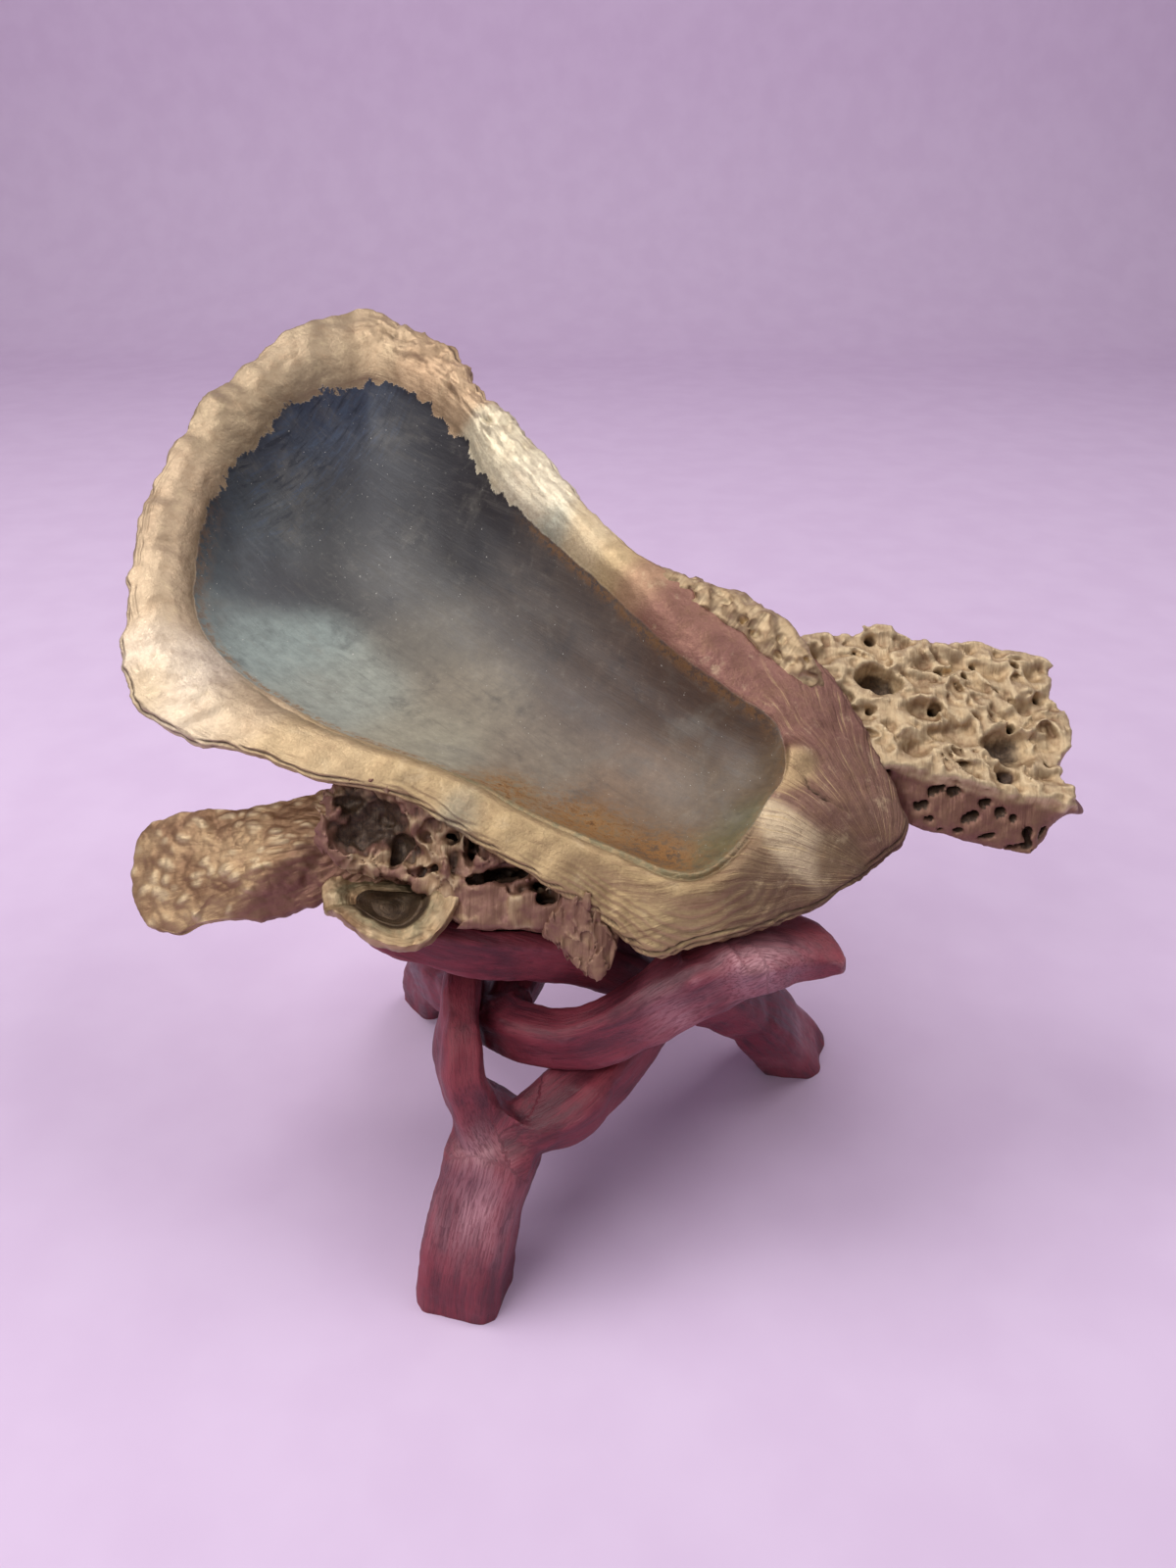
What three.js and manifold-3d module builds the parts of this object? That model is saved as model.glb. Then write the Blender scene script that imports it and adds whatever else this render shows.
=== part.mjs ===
// A cluster of gold-painted oyster shells grown together, resting on a carved three-leg wooden stand.
// Millimetres, +Z up, +X to the right of the cluster, +Y to its back. The feet stand on z = 0.
import * as THREE from 'three';
import { mergeVertices } from 'three/addons/utils/BufferGeometryUtils.js';
import Module from 'manifold-3d';

const wasm = await Module();
wasm.setup();
const { Manifold, Mesh } = wasm;

// Driving sizes
const GAP = 0.35; // clearance between neighbours
const WELD = 0.02; // corners nearer than this after a cut become one
const SLIVER = 0.002; // double area of a face too small to have a useful normal
const MITRE_ROUNDS = 12; // passes that fit a moved corner to all its faces
const MITRE_LIMIT = 2.5; // furthest a corner moves, in clearances
const VALVE_ORIGIN = [64, -20, 93]; // hinge end of the big valve
const VALVE_HEADING = 146; // the long axis as seen from above, degrees from +X
const VALVE_RISE = 18.4; // how far the wide end is lifted, degrees
const VALVE_ROLL = 25.6; // how far the open side is turned to the front, degrees
const BOWL_FLOOR = -23; // deepest level of the hollow, below the rim's plane
const UNDERSIDE = -31; // lowest level of the outside
const RIM_THICKNESS = 2.4;
const RIM_THICKNESS_HINGE = 3.5;
const LIP_CREST = 2.2; // how far the lip stands above a straight line from paint to rim
const HOLLOW_CURVE = 2.1; // how flat the hollow's floor is; 1 is a cone
const LIP_CURVE = 0.8; // how fast the lip rises from the paint edge; 1 is straight
const UNDERSIDE_CURVE = 1.55; // how full the outside is; 1 is straight
const AROUND = 66; // sections around the big valve
const CRUST_LUMP = [1.15, 1, 0.8]; // a lump's shape, along, across and up
const CRUST_ROUGHNESS = 0.8;
const FAN_THICKNESS = 3.2;
const FAN_THICKNESS_MIDDLE = 6;
const FAN_PIVOT = [-24, -3]; // where the fan's ribs would meet
const FAN_RIBS = 26; // ribs in a whole turn, as radians of angle
const SMALL_BOWL_DEPTH = 8;
const SMALL_BOWL_WALL = 4.5; // under the deepest place
const SMALL_BOWL_LIP = 0.9; // the share of its radius where its lip starts
const SMALL_BOWL_CURVE = 2.2; // how flat its floor is; 1 is a cone
const SMALL_BOWL_UNDERSIDE_CURVE = 2.4; // how full its outside is; 1 is a cone
const BORED_THICKNESS = 9.5;
const PIT_NARROWING = 0.85; // a pit's width across, for 1 along
const PIT_LEVEL = 0.4; // of a pit's middle above the shell's plane
const FRONT_HOLE_LENGTH = 14;
const FRONT_HOLE_TAPER = 0.7;
const LEG_SIDES = 10; // faces around a leg's branch
const LEG_SQUARENESS = 3.2; // 2 makes a branch's section round
const FOOT_TRIM = 60; // size of the block that cuts the feet flat

// Paint edge and rim of the big valve, station by station around it, in the valve's own plane:
// paint edge along and across, rim along and across, rim level
const VALVE_STATIONS = [
  [24.5, -3, 1.5, 3, -9.5],
  [27, 1.5, 6, 9.5, -9.5],
  [31, 5.5, 14, 15, -9],
  [37, 7, 26, 21, -7],
  [46, 7.2, 38, 24, -5],
  [57, 8, 50, 23, -3],
  [67, 9.5, 63, 20.5, -1],
  [79, 12.2, 77, 20, 0],
  [92, 14.5, 92, 23, 0],
  [106, 17, 107, 28.5, 0],
  [118, 19.8, 121, 32, 0.5],
  [129, 25.5, 134, 36, 1],
  [141, 28, 147, 42, 0.5],
  [150.5, 27.8, 160, 41, 0],
  [159, 26, 172.5, 41, 0],
  [163.5, 18.5, 178.5, 31, 0.5],
  [167, 12, 182, 17, 0.5],
  [167.5, 3.5, 181.5, 5.5, 0],
  [166, -4.5, 180.3, -4, 0.5],
  [164, -13, 177.5, -13.5, 0],
  [160.5, -21.7, 172.5, -24.5, 0],
  [154.5, -31, 166, -36, 0.5],
  [148.5, -38, 157, -47.5, 0],
  [142, -44, 149, -56.5, 0],
  [133.5, -48, 141, -63.5, 0],
  [122, -49.8, 130.5, -68, -1],
  [111, -49, 117.5, -66.5, -1],
  [101, -48, 105, -61.5, 0],
  [91, -45.5, 93.5, -58.5, 0],
  [79, -41.8, 80, -51.8, -1],
  [68, -39.2, 70, -49.5, -2],
  [57.5, -38, 58.5, -48.5, -3],
  [48, -36, 47.5, -47, -4],
  [38.5, -33.8, 36.5, -45, -7],
  [30.5, -32, 25, -44.5, -9.5],
  [25.5, -28.5, 19, -36.5, -10],
  [23.5, -22, 13.5, -29, -10],
  [23.5, -14.5, 8, -20.5, -10],
  [24, -8.5, 4, -9.5, -10],
];
const PAINT_LEVEL = -5;
const VALVE_CORE = [[48, -13], [140, -9]]; // the hollow's deepest line, along and across
const HOLLOW_STEPS = [0.14, 0.38, 0.6, 0.8, 1];
const LIP_STEPS = [0.3, 0.65, 1];
const UNDER_STEPS = [0, 0.14, 0.34, 0.6, 0.86];
// Crust grown on the far edge: along, across, level, size
const CRUST = [
  [37.5, 20, -6, 4.8],
  [45, 21.3, -5, 5],
  [53, 21.6, -4.5, 5],
  [60.5, 20, -4, 4.6],
  [67, 18.2, -3.5, 3.8],
];

// Fan shell at the left
const FAN_ORIGIN = [-50.5, -9.7, 80.9];
const FAN_NORMAL = [-0.2, -0.68, 0.7];
const FAN_OUTLINE = [
  [-19, -9], [-12.5, -13], [-2.5, -11.5], [11.7, -9.6], [21, -9.6], [31.5, -8], [36, -4.5], [36.5, 4],
  [32, 11.5], [25, 15.2], [19, 13.2], [7.3, 12], [1.4, 10.7], [-5, 8.8], [-14, 7], [-20, 0],
];

// Small cupped shell under the lower edge
const SMALL_BOWL_ORIGIN = [-30.6, -23, 81.8];
const SMALL_BOWL_NORMAL = [0.1, -0.5, 0.86];
const SMALL_BOWL_OUTLINE = [
  [-13, 5], [-12.6, 1.5], [-11.3, -2.1], [-8.4, -5.4], [-5.4, -8], [-0.4, -10.7], [5, -11.4],
  [9.3, -8.8], [12.2, -4], [13.2, 1], [12.6, 5.5], [8.5, 10], [3, 13], [-4, 12.5], [-9.5, 9.5],
];

// Broken old shell between the big valve and the small cupped one
const BROKEN_ORIGIN = [-22.8, -18.2, 86.1];
const BROKEN_NORMAL = [0, -0.8, 0.6];
const BROKEN_OUTLINE = [
  [-21, 8], [-20, 3.5], [-16.2, 1.4], [-8, 3], [-1.5, -2], [2.5, -7.5], [4.1, -12.5], [9.2, -14],
  [15, -14.3], [21.7, -14.3], [24.5, -8], [23, -3], [19, 3], [12, 8], [5, 11], [-4, 13], [-12, 15.5],
  [-17, 15.5], [-21, 12],
];
const BROKEN_DEPTH = 17;

// Pointed fragment
const POINTED_ORIGIN = [5.5, -28.3, 75.7];
const POINTED_NORMAL = [0.1, -0.85, 0.5];
const POINTED_OUTLINE = [[-4.5, 6], [-3, 12], [1, 14], [4.5, 11], [5.2, 4], [6.5, -0.9], [4.8, -5], [2, -8.6],
  [-1.7, -6.4], [-4.5, -3], [-7.3, 0]];

// Bored shell at the right
const BORED_ORIGIN = [62.9, -1, 92.9];
const BORED_NORMAL = [0.12, -0.42, 0.9];
const BORED_OUTLINE = [
  [-19, 24], [-21, 29], [-17, 33.5], [-10.4, 36.3], [-2.9, 37.1], [5.5, 40], [12.1, 37.9], [18, 36],
  [26.8, 37.8], [34, 36.3], [42.5, 33.1], [40.8, 25], [43.4, 20], [42, 12.1], [38, 4.5], [39, -1], [41, -6.5],
  [32.4, -3.1], [22.6, -1.4], [11.6, 1], [3, 2.8], [-6, 0], [-13, 7], [-17, 16],
];
// Its front face leans out towards the bottom, and its right end leans to the right
const BORED_LEAN_FRONT = -7.5;
const BORED_LEAN_RIGHT = [4.5, 3.5];
// Pits and holes from above: along, across, radius, depth
const PITS = [
  [4.3, 27.8, 3.9, 5], [27.7, 9.5, 5.3, 4.5], [16.9, 29, 1.8, 5], [13.8, 18, 1.7, 5], [35.7, 19, 1.6, 5],
  [34, 29, 1.7, 5], [22, 23.5, 1.6, 4], [-4, 30, 1.7, 5], [9.5, 9.5, 1.9, 4], [24.9, 32, 1.6, 4],
];
// Holes in its front face: along, level, radius
const FRONT_HOLES = [[4.5, -3, 1], [12, -4, 1.2], [19, -3.5, 1], [29, -3.5, 1]];

// Stand: each branch is a list of x, y, z, width, height and the direction its width lies in
const FRONT_FOOT = [
  [-18.8, -47, -4, 18, 15, 0.96, -0.28, 0],
  [-17.5, -44.5, 8, 17.5, 15, 0.96, -0.28, 0],
  [-14.2, -40.2, 24, 17, 13.5, 0.97, -0.22, 0],
  [-11, -38, 33.5, 19, 12, 0.98, -0.2, 0],
  [-7.5, -34.5, 39, 22, 10, 0.98, -0.2, 0],
];
const FRONT_LEFT_BRANCH = [
  [-11.5, -38, 33, 12, 10, 1, 0, 0],
  [-17, -34, 40, 10, 10, 0.9, -0.1, -0.4],
  [-19.6, -29, 47, 8.5, 10.5, 0.9, 0, -0.4],
  [-18.4, -19, 53.5, 8.5, 9, 1, 0.1, 0],
  [-18.5, -5, 55, 8.5, 8.5, 1, -0.1, 0],
  [-15.5, 8, 59.5, 9, 8.5, 0.95, -0.3, 0],
  [-6, 20, 67, 10, 9, 0.9, -0.5, 0],
  [5, 29, 75, 14, 9, 0.9, -0.5, 0],
];
const FRONT_RIGHT_BRANCH = [
  [-8, -37.5, 34.5, 9, 9, -0.2, -0.3, 1],
  [1, -35, 37.5, 11.5, 11.5, -0.2, -0.3, 1],
  [7.5, -29.5, 40.5, 10.5, 10.5, -0.2, -0.3, 1],
  [13.5, -24, 43, 9.5, 9.5, -0.3, -0.2, 1],
  [20, -19.5, 49, 8.5, 9, -0.3, -0.2, 1],
  [27, -12.5, 54.5, 8.5, 9, -0.2, -0.2, 1],
  [30.5, -1, 58.5, 8.5, 9, 0, -0.2, 1],
  [26, 13, 63.5, 8.5, 9.5, 0, -0.2, 1],
  [15, 26, 71.5, 9, 13, 0, -0.3, 1],
];
const FRONT_HEAD = [
  [8, 24, 70, 20, 11, 1, 0, 0],
  [9, 32, 79, 24, 11, 1, 0, 0],
  [9, 37.5, 88, 29, 9, 1, 0, 0],
  [8.5, 40, 98, 23, 7, 1, 0, 0],
];
const RIGHT_FOOT = [
  [-34.5, 44.5, -4, 15.5, 14.5, 0.7, 0.7, 0],
  [-33.5, 40.5, 6, 15, 14, 0.7, 0.7, 0],
  [-30.5, 26, 23, 13.5, 12, 0.7, 0.7, 0],
  [-25.5, 8, 36, 12.5, 11.5, 0.75, 0.6, 0],
  [-18, -7.5, 42.3, 12, 11, 0.75, 0.6, 0],
  [-9.5, -21, 48.3, 13, 11, 0.8, 0.6, 0],
];
const RIGHT_FRONT_BRANCH = [
  [-17, -10, 43, 11, 10, 0.75, 0.6, 0],
  [-9, -23, 48, 10, 11, 0.4, 0.9, 0],
  [2, -28.5, 50.2, 9.5, 11.5, 0, 1, 0],
  [13, -29.5, 55.3, 9.5, 12.5, 0, 1, 0],
  [23, -27.5, 62, 12, 13, -0.1, 1, 0],
  [33, -24, 66.5, 18, 12, -0.1, 1, 0],
];
const RIGHT_BACK_BRANCH = [
  [-11, -17, 47, 9, 10, 0.8, 0.6, 0],
  [-7.5, -9, 49.5, 9, 9, 1, 0.2, 0],
  [-2, 2, 53.5, 9, 8.5, 0.8, -0.6, 0],
  [9, 7, 60.5, 9, 8.5, 0.3, -0.9, 0],
  [22, 2, 67, 9.5, 8.5, 0, -1, 0],
  [33, -12, 69.5, 14, 9, 0, -1, 0],
];
const RIGHT_HEAD = [
  [24, -22, 64.5, 20, 11, -0.1, 1, 0],
  [34, -22, 67, 22, 10.5, -0.05, 1, 0.1],
  [44, -22.5, 67.3, 15, 8.5, 0, 1, 0.1],
  [51.5, -24.5, 67.8, 7, 5, 0, 1, 0.1],
];
const LEFT_LEG = [
  [-46, -8, 75.5, 16, 6.5, 0.1, 1, 0],
  [-39, -12, 73.5, 24, 8.5, 0.1, 1, 0],
  [-28, -14.5, 70.5, 24, 10.5, 0.05, 1, 0],
  [-17, -15.5, 67.6, 22.5, 11.5, 0, 1, 0],
  [-6, -16, 65, 18, 12.5, 0, 1, 0],
  [5, -15.5, 62, 14.5, 12.5, 0, 1, 0],
  [12.5, -12.5, 56.5, 13, 12, 0, 1, 0],
  [19.5, -8, 48.5, 13, 12, 0.1, 1, 0],
  [28, -1.5, 40.5, 13.5, 12, 0.2, 1, 0],
  [38, 6, 31, 14.5, 12.5, 0.3, 1, 0],
  [48, 14.5, 17, 16, 13.5, 0.3, 1, 0],
  [56, 21.5, 2, 17, 14.5, 0.3, 1, 0],
  [58.5, 23.5, -4, 17, 15, 0.3, 1, 0],
];

// A three.js mesh of stacked closed rings, with a fan over the first and the last one
function stack(rings) {
  const count = rings[0].length;
  const points = rings.flat();
  const first = points.length;
  for (const ring of [rings[0], rings[rings.length - 1]]) {
    const middle = new THREE.Vector3();
    ring.forEach((p) => middle.addScaledVector(p, 1 / count));
    points.push(middle);
  }
  const faces = [];
  for (let r = 0; r + 1 < rings.length; r++) {
    for (let i = 0; i < count; i++) {
      const j = (i + 1) % count;
      const [a, b, c, d] = [r * count + i, r * count + j, (r + 1) * count + j, (r + 1) * count + i];
      faces.push(a, b, c, a, c, d);
    }
  }
  const last = (rings.length - 1) * count;
  for (let i = 0; i < count; i++) {
    const j = (i + 1) % count;
    faces.push(first, j, i);
    faces.push(first + 1, last + i, last + j);
  }
  const geometry = new THREE.BufferGeometry().setFromPoints(points);
  geometry.setIndex(faces);
  return geometry;
}

// The geometry with each corner held once
function welded(geometry) {
  const bare = new THREE.BufferGeometry();
  bare.setAttribute('position', geometry.getAttribute('position'));
  if (geometry.index) bare.setIndex(geometry.index);
  return mergeVertices(bare, 1e-4);
}

// The geometry with corners that lie within a small reach made one, and without the slivers this closes
function tidied(geometry, reach) {
  const position = geometry.attributes.position;
  const points = [];
  const kept = [];
  const home = [];
  for (let i = 0; i < position.count; i++) {
    const p = new THREE.Vector3().fromBufferAttribute(position, i);
    let near = points.findIndex((q) => q.distanceTo(p) < reach);
    if (near < 0) near = points.push(p) - 1;
    home.push(near);
  }
  const corners = geometry.index.array;
  for (let i = 0; i < corners.length; i += 3) {
    const [a, b, c] = [home[corners[i]], home[corners[i + 1]], home[corners[i + 2]]];
    if (a !== b && b !== c && c !== a) kept.push(a, b, c);
  }
  const clean = new THREE.BufferGeometry().setFromPoints(points);
  clean.setIndex(kept);
  return clean;
}

// The geometry as a solid for joining and cutting, turned to face out
function solid(geometry) {
  const merged = welded(geometry);
  const positions = new Float32Array(merged.attributes.position.array);
  const corners = new Uint32Array(merged.index.array);
  let volume = 0;
  const at = (i) => new THREE.Vector3().fromArray(positions, 3 * i);
  for (let i = 0; i < corners.length; i += 3) {
    volume += at(corners[i]).dot(at(corners[i + 1]).cross(at(corners[i + 2])));
  }
  if (volume < 0) {
    for (let i = 0; i < corners.length; i += 3) {
      [corners[i + 1], corners[i + 2]] = [corners[i + 2], corners[i + 1]];
    }
  }
  return new Manifold(new Mesh({ numProp: 3, vertProperties: positions, triVerts: corners }));
}

// A solid as a three.js geometry
function geometryOf(body) {
  const mesh = body.getMesh();
  const geometry = new THREE.BufferGeometry();
  geometry.setAttribute('position', new THREE.BufferAttribute(new Float32Array(mesh.vertProperties), 3));
  geometry.setIndex(Array.from(mesh.triVerts));
  return geometry;
}

// The same solid with every face moved out by a distance
function grown(body, distance) {
  const geometry = geometryOf(body);
  const position = geometry.attributes.position;
  const corners = geometry.index.array;
  const at = (i) => new THREE.Vector3().fromBufferAttribute(position, i);
  const facing = Array.from({ length: position.count }, () => []);
  for (let i = 0; i < corners.length; i += 3) {
    const [a, b, c] = [corners[i], corners[i + 1], corners[i + 2]];
    const normal = at(b).sub(at(a)).cross(at(c).sub(at(a)));
    if (normal.length() < SLIVER) continue;
    normal.normalize();
    for (const corner of [a, b, c]) facing[corner].push(normal);
  }
  facing.forEach((normals, i) => {
    const step = new THREE.Vector3();
    for (let round = 0; round < MITRE_ROUNDS; round++) {
      for (const n of normals) step.addScaledVector(n, Math.max(0, distance - step.dot(n)));
    }
    step.clampLength(0, MITRE_LIMIT * distance).add(at(i));
    position.setXYZ(i, step.x, step.y, step.z);
  });
  return solid(geometry);
}

// The largest piece of a solid, without crumbs that a cut left over
function largest(body) {
  const whole = body.decompose().sort((a, b) => b.volume() - a.volume())[0];
  return solid(tidied(geometryOf(whole), WELD));
}

// Smooth waves that stand in for the unevenness of grown shell
function waves(p, pitch) {
  const k = (2 * Math.PI) / pitch;
  const x = Math.sin(k * p.x + 1.7 * Math.sin(k * 0.6 * p.y + 1));
  const y = Math.sin(k * p.y * 1.1 + 1.5 * Math.sin(k * 0.7 * p.z + 2));
  const z = Math.sin(k * p.z * 0.9 + 1.6 * Math.sin(k * 0.8 * p.x + 3));
  return (x + y + z) / 3;
}

function roughened(geometry, size, pitch) {
  const merged = welded(geometry);
  merged.computeVertexNormals();
  const position = merged.attributes.position;
  const normal = merged.attributes.normal;
  const p = new THREE.Vector3();
  const n = new THREE.Vector3();
  for (let i = 0; i < position.count; i++) {
    p.fromBufferAttribute(position, i);
    n.fromBufferAttribute(normal, i);
    p.addScaledVector(n, size * waves(p, pitch));
    position.setXYZ(i, p.x, p.y, p.z);
  }
  return merged;
}

// A frame with its normal given, its first axis as near to +X as it can be
function frameOf(origin, normal) {
  const n = new THREE.Vector3(...normal).normalize();
  const p = new THREE.Vector3(1, 0, 0);
  p.addScaledVector(n, -p.dot(n)).normalize();
  const q = new THREE.Vector3().crossVectors(n, p);
  return new THREE.Matrix4().makeBasis(p, q, n).setPosition(...origin);
}

const lerp = THREE.MathUtils.lerp;
const radians = THREE.MathUtils.degToRad;

function closedCurve(points) {
  return new THREE.CatmullRomCurve3(points.map((p) => new THREE.Vector3(...p)), true, 'catmullrom', 0.5);
}

// Big valve
function valveFrame() {
  const heading = radians(VALVE_HEADING);
  const rise = radians(VALVE_RISE);
  const roll = radians(VALVE_ROLL);
  const along = new THREE.Vector3(
    Math.cos(heading) * Math.cos(rise),
    Math.sin(heading) * Math.cos(rise),
    Math.sin(rise),
  );
  const level = new THREE.Vector3(0, 0, 1).addScaledVector(along, -along.z).normalize();
  const side = new THREE.Vector3().crossVectors(along, level);
  const up = level.clone().multiplyScalar(Math.cos(roll)).addScaledVector(side, -Math.sin(roll));
  const across = side.clone().multiplyScalar(Math.cos(roll)).addScaledVector(level, Math.sin(roll));
  return new THREE.Matrix4().makeBasis(along, across, up).setPosition(...VALVE_ORIGIN);
}

function corePoint(p) {
  const a = new THREE.Vector2(...VALVE_CORE[0]);
  const b = new THREE.Vector2(...VALVE_CORE[1]);
  const way = b.clone().sub(a);
  const t = THREE.MathUtils.clamp(new THREE.Vector2(p.x, p.y).sub(a).dot(way) / way.lengthSq(), 0, 1);
  return a.addScaledVector(way, t);
}

function bigValve() {
  const paint = closedCurve(VALVE_STATIONS.map((s) => [s[0], s[1], PAINT_LEVEL]));
  const rim = closedCurve(VALVE_STATIONS.map((s) => [s[2], s[3], s[4]]));
  const stations = [];
  for (let i = 0; i < AROUND; i++) {
    const u = i / AROUND;
    const edge = rim.getPoint(u);
    const inner = paint.getPoint(u);
    const near = THREE.MathUtils.smoothstep(45 - edge.x, 0, 40);
    const thick = lerp(RIM_THICKNESS, RIM_THICKNESS_HINGE, near);
    stations.push({ inner, edge, core: corePoint(inner), thick });
  }
  const rings = [];
  for (const s of HOLLOW_STEPS) {
    rings.push(stations.map(({ inner, core }) => new THREE.Vector3(
      lerp(core.x, inner.x, s),
      lerp(core.y, inner.y, s),
      lerp(BOWL_FLOOR, inner.z, Math.pow(s, HOLLOW_CURVE)),
    )));
  }
  for (const s of LIP_STEPS) {
    rings.push(stations.map(({ inner, edge }) => {
      const p = inner.clone().lerp(edge, s);
      const t = Math.pow(s, LIP_CURVE);
      p.z = lerp(inner.z, edge.z, t) + LIP_CREST * Math.sin(Math.PI * t);
      return p;
    }));
  }
  for (const s of UNDER_STEPS) {
    rings.push(stations.map(({ edge, core, thick }) => new THREE.Vector3(
      lerp(edge.x, core.x, s),
      lerp(edge.y, core.y, s),
      lerp(edge.z - thick, UNDERSIDE, 1 - Math.pow(1 - s, UNDERSIDE_CURVE)),
    )));
  }
  let body = solid(stack(rings).applyMatrix4(valveFrame()));
  for (const [a, b, c, size] of CRUST) {
    const [wide, deep, high] = CRUST_LUMP.map((share) => share * size);
    const lump = new THREE.IcosahedronGeometry(1, 1).scale(wide, deep, high).translate(a, b, c);
    body = body.add(solid(roughened(lump, CRUST_ROUGHNESS, 6).applyMatrix4(valveFrame())));
  }
  return body;
}

// A plate or cup with an outline, a level of its face and one of its back
function patch(outline, steps, count, face, back, lean = () => [0, 0]) {
  const curve = closedCurve(outline.map(([p, q]) => [p, q, 0]));
  const centre = new THREE.Vector3();
  outline.forEach(([p, q]) => centre.add(new THREE.Vector3(p, q, 0).divideScalar(outline.length)));
  const edge = [];
  for (let i = 0; i < count; i++) edge.push(curve.getPoint(i / count));
  const rings = [];
  for (const s of steps) {
    rings.push(edge.map((e) => {
      const p = centre.clone().lerp(e, s);
      p.z = face(p, s);
      return p;
    }));
  }
  for (const s of [...steps].reverse()) {
    rings.push(edge.map((e) => {
      const p = centre.clone().lerp(e, s);
      p.z = back(p, s);
      const [dx, dy] = lean(p);
      p.x += dx * s;
      p.y += dy * s;
      return p;
    }));
  }
  return stack(rings);
}

function fanShell() {
  const pivot = new THREE.Vector2(...FAN_PIVOT);
  const face = (p, s) => {
    const angle = Math.atan2(p.y - pivot.y, p.x - pivot.x);
    return 1.5 - 2.6 * s * s + 0.5 * s * Math.sin(angle * FAN_RIBS) - 0.0012 * p.x * p.x;
  };
  const back = (p, s) => face(p, s) - lerp(FAN_THICKNESS_MIDDLE, FAN_THICKNESS, s);
  const plate = patch(FAN_OUTLINE, [0.3, 0.7, 1], 40, face, back);
  return solid(plate.applyMatrix4(frameOf(FAN_ORIGIN, FAN_NORMAL).multiply(mirrorPlane())));
}

// The fan's plane was measured with its first axis to the left
function mirrorPlane() {
  return new THREE.Matrix4().makeBasis(
    new THREE.Vector3(-1, 0, 0),
    new THREE.Vector3(0, -1, 0),
    new THREE.Vector3(0, 0, 1),
  );
}

function smallBowl() {
  const lip = (s) => lerp(1, 0, (s - SMALL_BOWL_LIP) / (1 - SMALL_BOWL_LIP));
  const hollow = (s) => lerp(-SMALL_BOWL_DEPTH, 0.5, Math.pow(s / SMALL_BOWL_LIP, SMALL_BOWL_CURVE));
  const cup = patch(
    SMALL_BOWL_OUTLINE,
    [0.2, 0.5, 0.75, SMALL_BOWL_LIP, 1],
    30,
    (p, s) => (s > SMALL_BOWL_LIP ? lip(s) : hollow(s)),
    (p, s) => lerp(-SMALL_BOWL_DEPTH - SMALL_BOWL_WALL, -3, Math.pow(s, SMALL_BOWL_UNDERSIDE_CURVE)),
  );
  return solid(cup.applyMatrix4(frameOf(SMALL_BOWL_ORIGIN, SMALL_BOWL_NORMAL)));
}

function brokenShell() {
  const lump = patch(
    BROKEN_OUTLINE,
    [0.35, 0.75, 1],
    28,
    (p, s) => 0.5 - 2 * s * s + 1.6 * waves(p, 9),
    (p, s) => -BROKEN_DEPTH + 3 * s * s,
  );
  return solid(roughened(lump, 0.7, 7).applyMatrix4(frameOf(BROKEN_ORIGIN, BROKEN_NORMAL)));
}

function pointedShell() {
  const plate = patch(
    POINTED_OUTLINE,
    [0.3, 0.75, 1],
    22,
    (p, s) => 1.2 - 1.2 * s * s,
    (p, s) => -4.5 + 1.2 * s * s,
  );
  return solid(plate.applyMatrix4(frameOf(POINTED_ORIGIN, POINTED_NORMAL)));
}

function boredShell() {
  const slab = patch(
    BORED_OUTLINE,
    [0.35, 0.75, 1],
    46,
    (p, s) => 0.9 * waves(p, 11) - 1.2 * Math.pow(s, 6),
    (p, s) => -BORED_THICKNESS + 1.6 * Math.pow(s, 4) + 0.8 * waves(p, 14)
      + 3 * THREE.MathUtils.smoothstep(p.x, 34, 43),
    (p) => {
      const front = THREE.MathUtils.smoothstep(10 - p.y, 0, 10);
      const right = THREE.MathUtils.smoothstep(p.x, 31, 41);
      const middle = THREE.MathUtils.smoothstep(p.x, 1, 9) * (1 - right);
      const [rightward, forward] = BORED_LEAN_RIGHT;
      return [front * right * rightward, front * (middle * BORED_LEAN_FRONT + right * forward)];
    },
  );
  let body = solid(slab);
  for (const [p, q, r, depth] of PITS) {
    const pit = new THREE.SphereGeometry(1, 7, 5).rotateX(Math.PI / 2).scale(r, r * PIT_NARROWING, depth);
    body = body.subtract(solid(pit.translate(p, q, PIT_LEVEL)));
  }
  for (const [p, level, r] of FRONT_HOLES) {
    const hole = new THREE.CylinderGeometry(r, r * FRONT_HOLE_TAPER, FRONT_HOLE_LENGTH, 6);
    body = body.subtract(solid(hole.translate(p, -6, level)));
  }
  return body.transform(frameOf(BORED_ORIGIN, BORED_NORMAL).toArray());
}

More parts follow.
